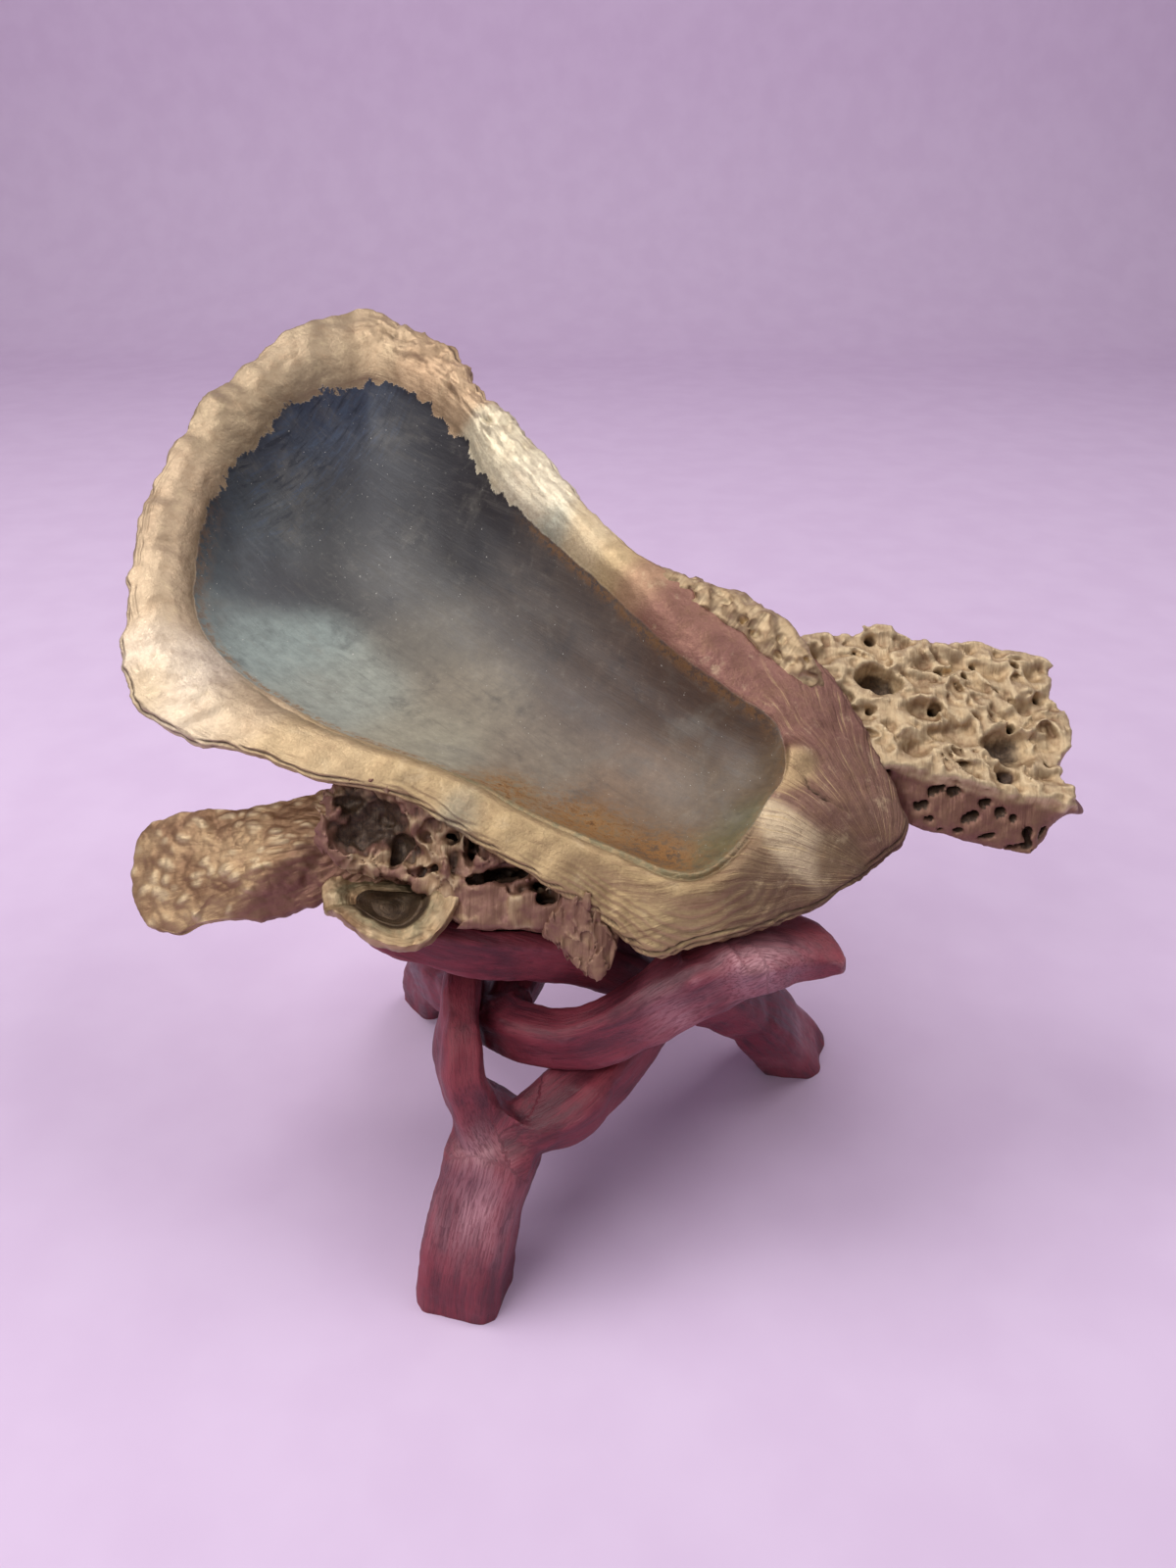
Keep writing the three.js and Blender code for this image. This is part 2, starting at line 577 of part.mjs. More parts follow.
// A branch of a leg: rounded-square sections along a smooth path
function branch(rows, perSpan = 2) {
  const curveOf = (pick) => new THREE.CatmullRomCurve3(rows.map(pick), false, 'catmullrom', 0.5);
  const path = curveOf((r) => new THREE.Vector3(r[0], r[1], r[2]));
  const sizes = curveOf((r) => new THREE.Vector3(r[3], r[4], 0));
  const sides = curveOf((r) => new THREE.Vector3(r[5], r[6], r[7]));
  const spans = (rows.length - 1) * perSpan;
  const rings = [];
  for (let i = 0; i <= spans; i++) {
    const t = i / spans;
    const centre = path.getPoint(t);
    const forward = path.getTangent(t);
    const side = sides.getPoint(t);
    side.addScaledVector(forward, -side.dot(forward)).normalize();
    const up = new THREE.Vector3().crossVectors(side, forward);
    const size = sizes.getPoint(t);
    const ring = [];
    for (let k = 0; k < LEG_SIDES; k++) {
      const angle = (2 * Math.PI * (k + 0.5)) / LEG_SIDES;
      const c = Math.cos(angle);
      const s = Math.sin(angle);
      const sum = Math.pow(Math.abs(c), LEG_SQUARENESS) + Math.pow(Math.abs(s), LEG_SQUARENESS);
      const squared = Math.pow(sum, -1 / LEG_SQUARENESS);
      ring.push(centre.clone()
        .addScaledVector(side, 0.5 * size.x * c * squared)
        .addScaledVector(up, 0.5 * size.y * s * squared));
    }
    rings.push(ring);
  }
  return solid(stack(rings));
}

function legOf(branches) {
  const joined = branches.map((rows) => branch(rows)).reduce((a, b) => a.add(b));
  const ground = new THREE.BoxGeometry(4 * FOOT_TRIM, 4 * FOOT_TRIM, FOOT_TRIM).translate(0, 0, -FOOT_TRIM / 2);
  return joined.subtract(solid(ground));
}

// Each piece is cut back from those before it, so that neighbours touch with a hair of clearance
const pieces = [];
function place(name, body, colour, roughness, metalness) {
  let cut = body;
  for (const earlier of pieces) cut = cut.subtract(grown(earlier.body, GAP));
  pieces.push({ name, body: largest(cut), colour, roughness, metalness });
}

// Colour, roughness and metalness
const SMOOTH_GOLD = [0xc8a573, 0.4, 0.8];
const ROUGH_GOLD = [0xb08a62, 0.5, 0.6];
const STAINED_WOOD = [0x6e2d37, 0.55, 0];
place('main_shell', bigValve(), ...SMOOTH_GOLD);
place('bored_shell', boredShell(), ...SMOOTH_GOLD);
place('bowl_shell', smallBowl(), ...SMOOTH_GOLD);
place('fan_shell', fanShell(), ...SMOOTH_GOLD);
place('pointed_shell', pointedShell(), ...ROUGH_GOLD);
place('broken_shell', brokenShell(), ...ROUGH_GOLD);
place('leg_left', legOf([LEFT_LEG]), ...STAINED_WOOD);
place('leg_right', legOf([RIGHT_FOOT, RIGHT_FRONT_BRANCH, RIGHT_BACK_BRANCH, RIGHT_HEAD]), ...STAINED_WOOD);
place('leg_front', legOf([FRONT_FOOT, FRONT_LEFT_BRANCH, FRONT_RIGHT_BRANCH, FRONT_HEAD]), ...STAINED_WOOD);

const group = new THREE.Group();
group.name = 'painted_oyster_shell';
for (const { name, body, colour, roughness, metalness } of pieces) {
  const material = new THREE.MeshStandardMaterial({ color: colour, roughness, metalness });
  const mesh = new THREE.Mesh(geometryOf(body), material);
  mesh.name = name;
  group.add(mesh);
}

// The row's origin: middle of the box from above, on the ground
const box = new THREE.Box3().setFromObject(group);
const middle = box.getCenter(new THREE.Vector3());
for (const mesh of group.children) mesh.geometry.translate(-middle.x, -middle.y, -box.min.z);

export default group;
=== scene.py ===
# Gold-painted oyster shells grown together, on a carved three-leg stand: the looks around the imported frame.
# Shapes are worked out in millimetres in the shells' design frame, then moved to the row's frame in metres.
import math
import bpy
import numpy as np
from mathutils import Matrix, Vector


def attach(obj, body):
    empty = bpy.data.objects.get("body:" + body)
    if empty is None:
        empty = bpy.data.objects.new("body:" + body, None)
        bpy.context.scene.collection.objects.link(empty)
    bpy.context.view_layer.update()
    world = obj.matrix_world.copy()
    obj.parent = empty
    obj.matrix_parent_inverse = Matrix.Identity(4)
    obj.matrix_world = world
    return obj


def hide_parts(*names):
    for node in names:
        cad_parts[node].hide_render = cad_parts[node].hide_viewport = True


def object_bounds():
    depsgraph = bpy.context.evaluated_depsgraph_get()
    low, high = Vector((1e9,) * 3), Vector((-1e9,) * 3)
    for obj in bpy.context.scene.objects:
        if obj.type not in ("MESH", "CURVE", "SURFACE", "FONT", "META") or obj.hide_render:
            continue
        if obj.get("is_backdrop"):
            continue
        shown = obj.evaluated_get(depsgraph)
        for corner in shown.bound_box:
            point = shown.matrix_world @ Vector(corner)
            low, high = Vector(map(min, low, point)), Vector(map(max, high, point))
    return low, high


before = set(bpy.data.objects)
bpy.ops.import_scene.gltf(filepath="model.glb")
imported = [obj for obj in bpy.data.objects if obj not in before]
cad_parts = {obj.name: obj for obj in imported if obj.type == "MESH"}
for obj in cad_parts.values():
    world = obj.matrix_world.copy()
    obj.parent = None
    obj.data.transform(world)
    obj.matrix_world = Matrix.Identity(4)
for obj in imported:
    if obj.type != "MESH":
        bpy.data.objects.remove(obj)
CAD_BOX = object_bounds()

# Driving sizes
ROW_SHIFT = np.array([9.209, 22.863, 0.0])  # the row's origin in the design frame
MM = 0.001
VALVE_ORIGIN = (64, -20, 93)  # hinge end of the big valve
VALVE_HEADING = 146  # the long axis as seen from above, degrees from +X
VALVE_RISE = 18.4  # how far the wide end is lifted, degrees
VALVE_ROLL = 25.6  # how far the open side is turned to the front, degrees
BOWL_FLOOR = -23  # deepest level of the hollow, below the rim's plane
UNDERSIDE = -31  # lowest level of the outside
RIM_THICKNESS = 2.4
RIM_THICKNESS_HINGE = 3.5
LIP_CREST = 2.2  # how far the lip stands above a straight line from paint to rim
LIP_CURVE = 0.8  # how fast the lip rises from the paint edge; 1 is straight
HOLLOW_CURVE = 2.1  # how flat the hollow's floor is; 1 is a cone
UNDERSIDE_CURVE = 1.55  # how full the outside is; 1 is straight
PAINT_LEVEL = -5
AROUND = 600  # sections around the big valve

# Paint edge and rim of the big valve, station by station around it, in the valve's own plane:
# paint edge along and across, rim along and across, rim level
VALVE_STATIONS = [
    (24.5, -3, 1.5, 3, -9.5),
    (27, 1.5, 6, 9.5, -9.5),
    (31, 5.5, 14, 15, -9),
    (37, 7, 26, 21, -7),
    (46, 7.2, 38, 24, -5),
    (57, 8, 50, 23, -3),
    (67, 9.5, 63, 20.5, -1),
    (79, 12.2, 77, 20, 0),
    (92, 14.5, 92, 23, 0),
    (106, 17, 107, 28.5, 0),
    (118, 19.8, 121, 32, 0.5),
    (129, 25.5, 134, 36, 1),
    (141, 28, 147, 42, 0.5),
    (150.5, 27.8, 160, 41, 0),
    (159, 26, 172.5, 41, 0),
    (163.5, 18.5, 178.5, 31, 0.5),
    (167, 12, 182, 17, 0.5),
    (167.5, 3.5, 181.5, 5.5, 0),
    (166, -4.5, 180.3, -4, 0.5),
    (164, -13, 177.5, -13.5, 0),
    (160.5, -21.7, 172.5, -24.5, 0),
    (154.5, -31, 166, -36, 0.5),
    (148.5, -38, 157, -47.5, 0),
    (142, -44, 149, -56.5, 0),
    (133.5, -48, 141, -63.5, 0),
    (122, -49.8, 130.5, -68, -1),
    (111, -49, 117.5, -66.5, -1),
    (101, -48, 105, -61.5, 0),
    (91, -45.5, 93.5, -58.5, 0),
    (79, -41.8, 80, -51.8, -1),
    (68, -39.2, 70, -49.5, -2),
    (57.5, -38, 58.5, -48.5, -3),
    (48, -36, 47.5, -47, -4),
    (38.5, -33.8, 36.5, -45, -7),
    (30.5, -32, 25, -44.5, -9.5),
    (25.5, -28.5, 19, -36.5, -10),
    (23.5, -22, 13.5, -29, -10),
    (23.5, -14.5, 8, -20.5, -10),
    (24, -8.5, 4, -9.5, -10),
]
VALVE_CORE = ((48, -13), (140, -9))  # the hollow's deepest line, along and across

# Crust grown on the far edge: along, across, level, size
CRUST = [
    (36, 19.5, -6, 4.2),
    (40.5, 21.3, -5.4, 4.6),
    (45, 22, -4.6, 4.9),
    (49.5, 22.4, -4.4, 4.6),
    (54, 22, -4.3, 4.9),
    (59, 20.8, -3.8, 4.3),
    (63.5, 19.6, -3.4, 3.9),
    (68, 18.6, -3.2, 3.4),
    (72, 18.4, -3, 2.4),
    (33, 17.6, -7, 3),
]

# Fan shell at the left
FAN_ORIGIN = (-50.5, -9.7, 80.9)
FAN_NORMAL = (-0.2, -0.68, 0.7)
FAN_THICKNESS_MIDDLE = 4.5
FAN_THICKNESS_EDGE = 2.0
FAN_PIVOT = (-24, -3)  # where the fan's ribs would meet
FAN_FOLD = (3.0, 1.0)  # a point of the fold beyond which its leaf turns down
FAN_AROUND = 340
FAN_RINGS = 76
FAN_OUTLINE = [
    (-19, -9), (-12.5, -13), (-2.5, -11.5), (11.7, -9.6), (21, -9.6), (31.5, -8), (35, -4.4), (35.4, 4),
    (32, 11.5), (25, 15.2), (19, 13.2), (7.3, 12), (1.4, 10.7), (-5, 8.8), (-14, 7), (-20, 0),
]

# Small cupped shell under the lower edge
SMALL_BOWL_ORIGIN = (-30.6, -23, 81.8)
SMALL_BOWL_NORMAL = (0.1, -0.5, 0.86)
SMALL_BOWL_DEPTH = 8
SMALL_BOWL_WALL = 4.5  # under the deepest place
SMALL_BOWL_AROUND = 260
SMALL_BOWL_RINGS = 62
SMALL_BOWL_OUTLINE = [
    (-13, 5), (-12.6, 1.5), (-11.3, -2.1), (-8.4, -5.4), (-5.4, -8), (-0.4, -10.7), (5, -11.4),
    (9.3, -8.8), (12.2, -4), (13, 0), (12, 3.5), (8.5, 6), (3, 7.5), (-4, 8), (-9.5, 7.6),
]

# Broken old shell between the big valve and the small cupped one
BROKEN_ORIGIN = (-22.8, -18.2, 86.1)
BROKEN_NORMAL = (0, -0.8, 0.6)
BROKEN_DEPTH = 17
BROKEN_OUTLINE = [
    (-21, 7), (-21.5, 2.5), (-17.5, -2), (-10, -4.5), (-3, -6.5), (1.5, -9), (4.1, -12.5), (9.2, -14),
    (15, -14.3), (21.7, -14.3), (24.5, -8), (23, -3), (19, 3), (12, 7.5), (5, 10), (-4, 11.8), (-12, 13.8),
    (-17, 14), (-21, 11),
]
# Black gaps in it: along, across, radius along, radius across, depth
BROKEN_GAPS = [
    (14.4, -3.9, 5.6, 1.7, 8), (9.0, -4.8, 2.4, 1.3, 6), (18.5, -6.2, 2.8, 1.4, 6), (7.2, 0.8, 1.5, 3.0, 5),
    (3.6, 3.0, 2.2, 1.5, 5), (-12, 5.0, 8.0, 6.4, 6), (-15.5, 9.5, 6.5, 3.6, 5), (-6.5, 1.0, 3.0, 3.4, 6),
    (-1.5, -3.0, 3.2, 1.6, 5), (20.8, -8.6, 2.4, 1.7, 7),
]

# Pointed fragment
POINTED_ORIGIN = (5.5, -28.3, 75.7)
POINTED_NORMAL = (0.1, -0.85, 0.5)
POINTED_OUTLINE = [
    (-4.8, 4.5), (-3, 6.6), (1, 7), (4.2, 6.2), (5.2, 4), (6.5, -0.9), (4.8, -5), (2, -8.6), (-1.7, -6.4),
    (-4.5, -3), (-7.3, 0),
]

# Bored shell at the right
BORED_ORIGIN = (62.9, -1, 92.9)
BORED_NORMAL = (0.12, -0.42, 0.9)
BORED_THICKNESS = 9.5
BORED_OUTLINE = [
    (-19, 24), (-21, 29), (-17, 33.5), (-10.4, 36.3), (-2.9, 37.1), (5.5, 40), (12.1, 37.9), (18, 36),
    (26.8, 37.8), (34, 36.3), (42.5, 33.1), (40.8, 25), (43.4, 20), (42, 12.1), (38, 4.5), (39.2, 0),
    (40.4, -4.2), (37, -4.4), (32.4, -3.1), (22.6, -1.4), (11.6, 1), (3, 2.8), (-6, 0), (-13, 7), (-17, 16),
]
BORED_LEAN_FRONT = -7.5  # how far its front face leans out towards the bottom
BORED_LEAN_RIGHT = (4.5, 3.5)  # the same for its right end, along and across
# Wide hollows seen from above: along, across, radius, depth
PITS = [
    (3, 24.5, 5.2, 6.5), (-9.5, 29.5, 3.2, 3.5), (27.7, 9.5, 5.6, 5), (26.2, 2.6, 2.8, 4),
    (14, 29.5, 2.6, 2.6), (10.5, 17, 3.4, 2.6), (34, 20, 3.0, 3), (22, 31, 3.2, 2.8), (37.5, 29, 2.6, 3),
    (-6, 19, 3, 3), (18.5, 11, 3.4, 2.8), (8, 7.5, 3.4, 2.6),
]
# Narrow holes seen from above: along, across, radius
BORINGS = [
    (29.5, 14.7, 1.2), (24.9, 30.5, 0.9), (37, 23.7, 0.9), (3, 36.2, 1.2), (35.2, 6.0, 0.9),
    (27.9, 24.1, 0.8), (14, 18.3, 1.3), (16.3, 28.5, 1.2), (-1.5, 24, 0.9), (21.9, 26.9, 1.0),
    (-10, 30.3, 0.8), (33.5, 31, 1.1), (0, 16.5, 0.9),
]
# Holes in its front face: along, level, radius, how far each is drawn out sideways
FRONT_HOLES = [
    (-0.5, -1.8, 1.0, 0), (2.4, -3.2, 1.0, 0), (9.5, -5.6, 0.65, 0.9), (12.2, -3.4, 0.7, 1.1),
    (15.6, -3.2, 0.6, 0.9), (11, -7.0, 0.6, 0.4), (19, -5.6, 0.75, 1.0), (21.8, -3.6, 0.65, 0.6),
    (24.8, -4.3, 0.8, 0.4), (27.4, -4.6, 0.65, 0.2), (30.2, -5.8, 0.9, 0.3), (33.5, -6.2, 0.8, 0.4),
    (36.5, -7.2, 0.65, 0.4), (17, -7.6, 0.5, 0.6), (22.5, -7.4, 0.5, 1.4), (29, -8.2, 1.0, 1.8),
    (13.5, -8.2, 0.5, 0.3), (33, -8.6, 0.5, 0.8),
]

# Stand: each branch is a list of x, y, z, width, height and the direction its width lies in
FRONT_FOOT = [
    (-18.8, -46.4, -4, 18, 15, 0.96, -0.28, 0),
    (-17.5, -44.1, 8, 17.5, 15, 0.96, -0.28, 0),
    (-14.2, -40.2, 24, 17.5, 14, 0.97, -0.22, 0),
    (-12.2, -38.9, 30.5, 18, 13.5, 0.98, -0.2, 0),
    (-11.2, -36.8, 34, 18, 10.5, 0.98, -0.2, 0),
    (-8, -34.5, 39, 22, 11, 0.98, -0.2, 0),
]
FRONT_LEFT_BRANCH = [
    (-11.5, -38, 33, 12, 10, 1, 0, 0),
    (-17, -33.5, 40, 9.5, 16, 0.9, -0.1, -0.4),
    (-19.6, -28.5, 47, 8, 18, 0.9, 0, -0.4),
    (-18.4, -19, 53.5, 8.5, 13, 1, 0.1, 0),
    (-18.5, -5, 55, 8.5, 8.5, 1, -0.1, 0),
    (-15.5, 8, 59.5, 9, 8.5, 0.95, -0.3, 0),
    (-6, 20, 67, 10, 9, 0.9, -0.5, 0),
    (5, 29, 75, 14, 9, 0.9, -0.5, 0),
]
FRONT_RIGHT_BRANCH = [
    (-8, -37.5, 34.5, 9, 9, -0.2, -0.3, 1),
    (1, -34, 37.5, 11.5, 13.5, -0.2, -0.3, 1),
    (7.5, -29, 40.5, 11, 12.5, -0.2, -0.3, 1),
    (13.5, -24, 43, 9.5, 9.5, -0.3, -0.2, 1),
    (20, -19.5, 49, 8.5, 9, -0.3, -0.2, 1),
    (27, -12.5, 54.5, 8.5, 9, -0.2, -0.2, 1),
    (30.5, -1, 58.5, 8.5, 9, 0, -0.2, 1),
    (26, 13, 63.5, 8.5, 9.5, 0, -0.2, 1),
    (15, 26, 71.5, 9, 13, 0, -0.3, 1),
]
FRONT_HEAD = [
    (8, 24, 70, 20, 11, 1, 0, 0),
    (9, 32, 79, 24, 11, 1, 0, 0),
    (9, 37.5, 88, 29, 9, 1, 0, 0),
    (8.5, 40, 98, 23, 7, 1, 0, 0),
]
RIGHT_FOOT = [
    (-34.5, 44.5, -4, 15.5, 14.5, 0.7, 0.7, 0),
    (-33.5, 40.5, 6, 15, 14, 0.7, 0.7, 0),
    (-30.5, 26, 23, 13.5, 12, 0.7, 0.7, 0),
    (-25.5, 8, 36, 12.5, 11.5, 0.75, 0.6, 0),
    (-18, -7.5, 42.3, 12, 11, 0.75, 0.6, 0),
    (-9.5, -21, 48.3, 13, 11, 0.8, 0.6, 0),
]
RIGHT_FRONT_BRANCH = [
    (-17, -10, 43, 11, 10, 0.75, 0.6, 0),
    (-9, -23, 48, 10, 11, 0.4, 0.9, 0),
    (2, -28.5, 50.2, 9.5, 11.5, 0, 1, 0),
    (13, -29.5, 55.3, 9.5, 12.5, 0, 1, 0),
    (23, -27.5, 62, 12, 13, -0.1, 1, 0),
    (33, -24, 66.5, 18, 12, -0.1, 1, 0),
]
RIGHT_BACK_BRANCH = [
    (-11, -17, 47, 9, 10, 0.8, 0.6, 0),
    (-7.5, -9, 49.5, 9, 9, 1, 0.2, 0),
    (-2, 2, 53.5, 9, 8.5, 0.8, -0.6, 0),
    (9, 7, 60.5, 9, 8.5, 0.3, -0.9, 0),
    (22, 2, 67, 9.5, 8.5, 0, -1, 0),
    (33, -12, 69.5, 14, 9, 0, -1, 0),
]
RIGHT_HEAD = [
    (24, -22, 64.5, 20, 11, -0.1, 1, 0),
    (34, -22, 67, 22, 10.5, -0.05, 1, 0.1),
    (44, -22.5, 66.8, 16, 9, 0, 1, 0.1),
    (49.5, -24.6, 66.6, 10, 7, 0, 1, 0.1),
    (54, -27.4, 66.8, 2.5, 3, 0, 1, 0.1),
]
LEFT_LEG = [
    (-40, -9, 74, 14, 6.5, 0.1, 1, 0),
    (-35, -11.5, 72.5, 19, 8.5, 0.1, 1, 0),
    (-27, -14.5, 70.3, 23, 10.5, 0.05, 1, 0),
    (-17, -15.5, 67.6, 22.5, 11.5, 0, 1, 0),
    (-6, -16, 65, 18, 12.5, 0, 1, 0),
    (5, -15.5, 62, 14.5, 12.5, 0, 1, 0),
    (12.5, -12.5, 56.5, 13, 12, 0, 1, 0),
    (19.5, -8, 48.5, 13, 12, 0.1, 1, 0),
    (28, -1.5, 40.5, 13.5, 12, 0.2, 1, 0),
    (38, 6, 31, 14.5, 12.5, 0.3, 1, 0),
    (48, 14.5, 17, 16, 13.5, 0.3, 1, 0),
    (56, 21.5, 2, 17, 14.5, 0.3, 1, 0),
    (58.5, 23.5, -4, 17, 15, 0.3, 1, 0),
]
BRANCH_AROUND = 64  # points around a branch
BRANCH_RINGS_PER_ROW = 10
BEVEL = 1.7  # 2 keeps the corners of a branch's section square
LEG_GRAIN = 0.6  # size of the cells that join a leg's branches
GAP = 0.35  # between a leg and what it touches
# Places rubbed pale: x, y, z, reach
WORN = [
    (-15, -47, 22, 8.5), (-14, -45, 36, 5), (38, -32, 70, 8), (22, -36, 60, 6), (-17, -33, 44, 4),
    (52, 18, 12, 7),
]


# Repeatable noise
HASH_PRIMES = (374761393, 668265263, 2246822519, 3266489917)


def lattice(cell, seed):
    """A random whole number for each whole-number lattice point."""
    c = cell.astype(np.int64).astype(np.uint32)
    along_x, along_y, along_z, for_seed = (np.uint32(prime) for prime in HASH_PRIMES)
    h = c[..., 0] * along_x + c[..., 1] * along_y + c[..., 2] * along_z
    h = h + np.uint32((seed * HASH_PRIMES[3]) & 0xFFFFFFFF)
    h = (h ^ (h >> 15)) * along_z
    h = (h ^ (h >> 13)) * for_seed
    return h ^ (h >> 16)


def three(h):
    """Three numbers from 0 to 1 out of each whole number."""
    return np.stack([h & 1023, (h >> 10) & 1023, (h >> 20) & 1023], -1) / 1023.0


def noise(p, pitch, seed):
    """Smooth gradient noise, about -1 to 1, with features the size of the pitch."""
    q = np.asarray(p, float) / pitch
    base = np.floor(q)
    f = q - base
    u = f * f * f * (f * (f * 6 - 15) + 10)
    total = np.zeros(q.shape[:-1])
    for corner in np.ndindex(2, 2, 2):
        g = three(lattice(base + corner, seed)) * 2 - 1
        weight = np.prod(np.where(corner, u, 1 - u), axis=-1)
        total += weight * np.sum(g * (f - corner), axis=-1)
    return total * 1.3


def fractal(p, pitch, octaves, seed):
    """Noise with finer noise on it, each octave half as large and half as strong."""
    return sum(0.5 ** k * noise(p, pitch / 2 ** k, seed + k) for k in range(octaves))


def wander(p, pitch, seed, octaves=1):
    """A smooth random shift of each point, in three directions."""
    return np.stack([fractal(p, pitch, octaves, seed + k) for k in range(3)], -1)


def cells(p, pitch, seed):
    """Distances to the nearest and the next random point, in pitches, and the nearest one's number."""
    q = np.asarray(p, float) / pitch
    base = np.floor(q)
    near = np.full(q.shape[:-1], 9.0)
    second = near.copy()
    number = np.zeros(q.shape[:-1], np.uint32)
    for step in np.ndindex(3, 3, 3):
        cell = base + step - 1
        h = lattice(cell, seed)
        far = np.linalg.norm(cell + three(h) - q, axis=-1)
        closer = far < near
        second = np.where(closer, near, np.minimum(second, far))
        number = np.where(closer, h, number)
        near = np.where(closer, far, near)
    return near, second, number


def smooth(x, low, high):
    """A soft step from 0 to 1 as x goes from low to high."""
    t = np.clip((np.asarray(x, float) - low) / (high - low), 0, 1)
    return t * t * (3 - 2 * t)


def mix(a, b, t):
    return a + (b - a) * t


# Curves and frames
def curve_at(rows, u, closed):
    """A smooth curve through the rows, at parameters that count rows."""
    rows = np.asarray(rows, float)
    n = len(rows)
    i = np.floor(u).astype(int)
    if not closed:
        i = np.minimum(i, n - 2)
    t = (u - i)[:, None]
    if closed:
        a, b, c, d = (rows[(i + k) % n] for k in (-1, 0, 1, 2))
    else:
        padded = np.vstack([2 * rows[0] - rows[1], rows, 2 * rows[-1] - rows[-2]])
        a, b, c, d = (padded[i + 1 + k] for k in (-1, 0, 1, 2))
    return b + 0.5 * t * (c - a + t * (2 * a - 5 * b + 4 * c - d + t * (3 * (b - c) + d - a)))


def closed_curve(rows, count):
    return curve_at(rows, np.arange(count) * len(rows) / count, True)


def unit(v):
    v = np.asarray(v, float)
    return v / np.linalg.norm(v)


def plane_frame(origin, normal):
    """Axes of a plane with its first axis as near to +X as it can be, as rows, and its origin."""
    n = unit(normal)
    p = unit(np.array([1.0, 0, 0]) - n[0] * n)
    return np.stack([p, np.cross(n, p), n]), np.array(origin, float)


def valve_frame():
    heading, rise, roll = np.radians([VALVE_HEADING, VALVE_RISE, VALVE_ROLL])
    along = np.array([np.cos(heading) * np.cos(rise), np.sin(heading) * np.cos(rise), np.sin(rise)])
    level = unit(np.array([0, 0, 1.0]) - along[2] * along)
    side = np.cross(along, level)
    up = level * np.cos(roll) - side * np.sin(roll)
    across = side * np.cos(roll) + level * np.sin(roll)
    return np.stack([along, across, up]), np.array(VALVE_ORIGIN, float)


def placed(points, axes_and_origin):
    axes, origin = axes_and_origin
    return points @ axes + origin


# Meshes
def make_mesh(name, points, faces, material, attributes=None):
    """A mesh object from millimetre points in the design frame, with its named attributes."""
    mesh = bpy.data.meshes.new(name)
    mesh.from_pydata(((points - ROW_SHIFT) * MM).tolist(), [], faces)
    mesh.validate()
    mesh.update()
    mesh.polygons.foreach_set("use_smooth", [True] * len(mesh.polygons))
    for key, values in (attributes or {}).items():
        store(mesh, key, values)
    obj = bpy.data.objects.new(name, mesh)
    bpy.context.scene.collection.objects.link(obj)
    mesh.materials.append(material)
    return obj


def store(mesh, key, values):
    """A number or a vector for each point, under its name."""
    values = np.asarray(values, np.float32)
    if values.ndim == 1:
        layer = mesh.attributes.new(key, "FLOAT", "POINT")
        layer.data.foreach_set("value", values)
    else:
        layer = mesh.attributes.new(key, "FLOAT_VECTOR", "POINT")
        layer.data.foreach_set("vector", values.ravel())


def ring_faces(rings, count):
    """Quads of stacked closed rings, with a fan over the first and the last one."""
    r = np.arange(rings - 1)[:, None] * count
    i = np.arange(count)[None, :]
    j = (i + 1) % count
    quads = np.stack([r + i, r + j, r + count + j, r + count + i], -1).reshape(-1, 4).tolist()
    first = rings * count
    last = (rings - 1) * count
    for k in range(count):
        n = (k + 1) % count
        quads.append((first, n, k))
        quads.append((first + 1, last + k, last + n))
    return quads


def grid_normals(points):
    """Outward normals of stacked rings, from the neighbours along and around."""
    around = np.roll(points, -1, axis=1) - np.roll(points, 1, axis=1)
    down = np.gradient(points, axis=0)
    n = np.cross(around, down)
    return n / np.maximum(np.linalg.norm(n, axis=-1, keepdims=True), 1e-9)


def with_middles(points):
    """Ring points as one list, with the middle of the first and the last ring at its end."""
    return np.vstack([points.reshape(-1, points.shape[-1]), points[0].mean(0), points[-1].mean(0)])


def flat_list(values):
    """Values on rings as one list that matches with_middles."""
    return np.concatenate([values.reshape(-1), [values[0].mean(), values[-1].mean()]])


def mesh_arrays(obj):
    """An object's finished mesh: points in millimetres in the design frame, outward normals, and faces."""
    graph = bpy.context.evaluated_depsgraph_get()
    mesh = bpy.data.meshes.new_from_object(obj.evaluated_get(graph))
    points = np.empty(len(mesh.vertices) * 3, np.float32)
    mesh.vertices.foreach_get("co", points)
    normals = np.empty(len(mesh.vertices) * 3, np.float32)
    mesh.vertex_normals.foreach_get("vector", normals)
    faces = [tuple(f.vertices) for f in mesh.polygons]
    bpy.data.meshes.remove(mesh)
    return points.reshape(-1, 3) / MM + ROW_SHIFT, normals.reshape(-1, 3), faces


def drop(obj):
    """Deletes an object with its mesh."""
    mesh = obj.data
    bpy.data.objects.remove(obj)
    bpy.data.meshes.remove(mesh)


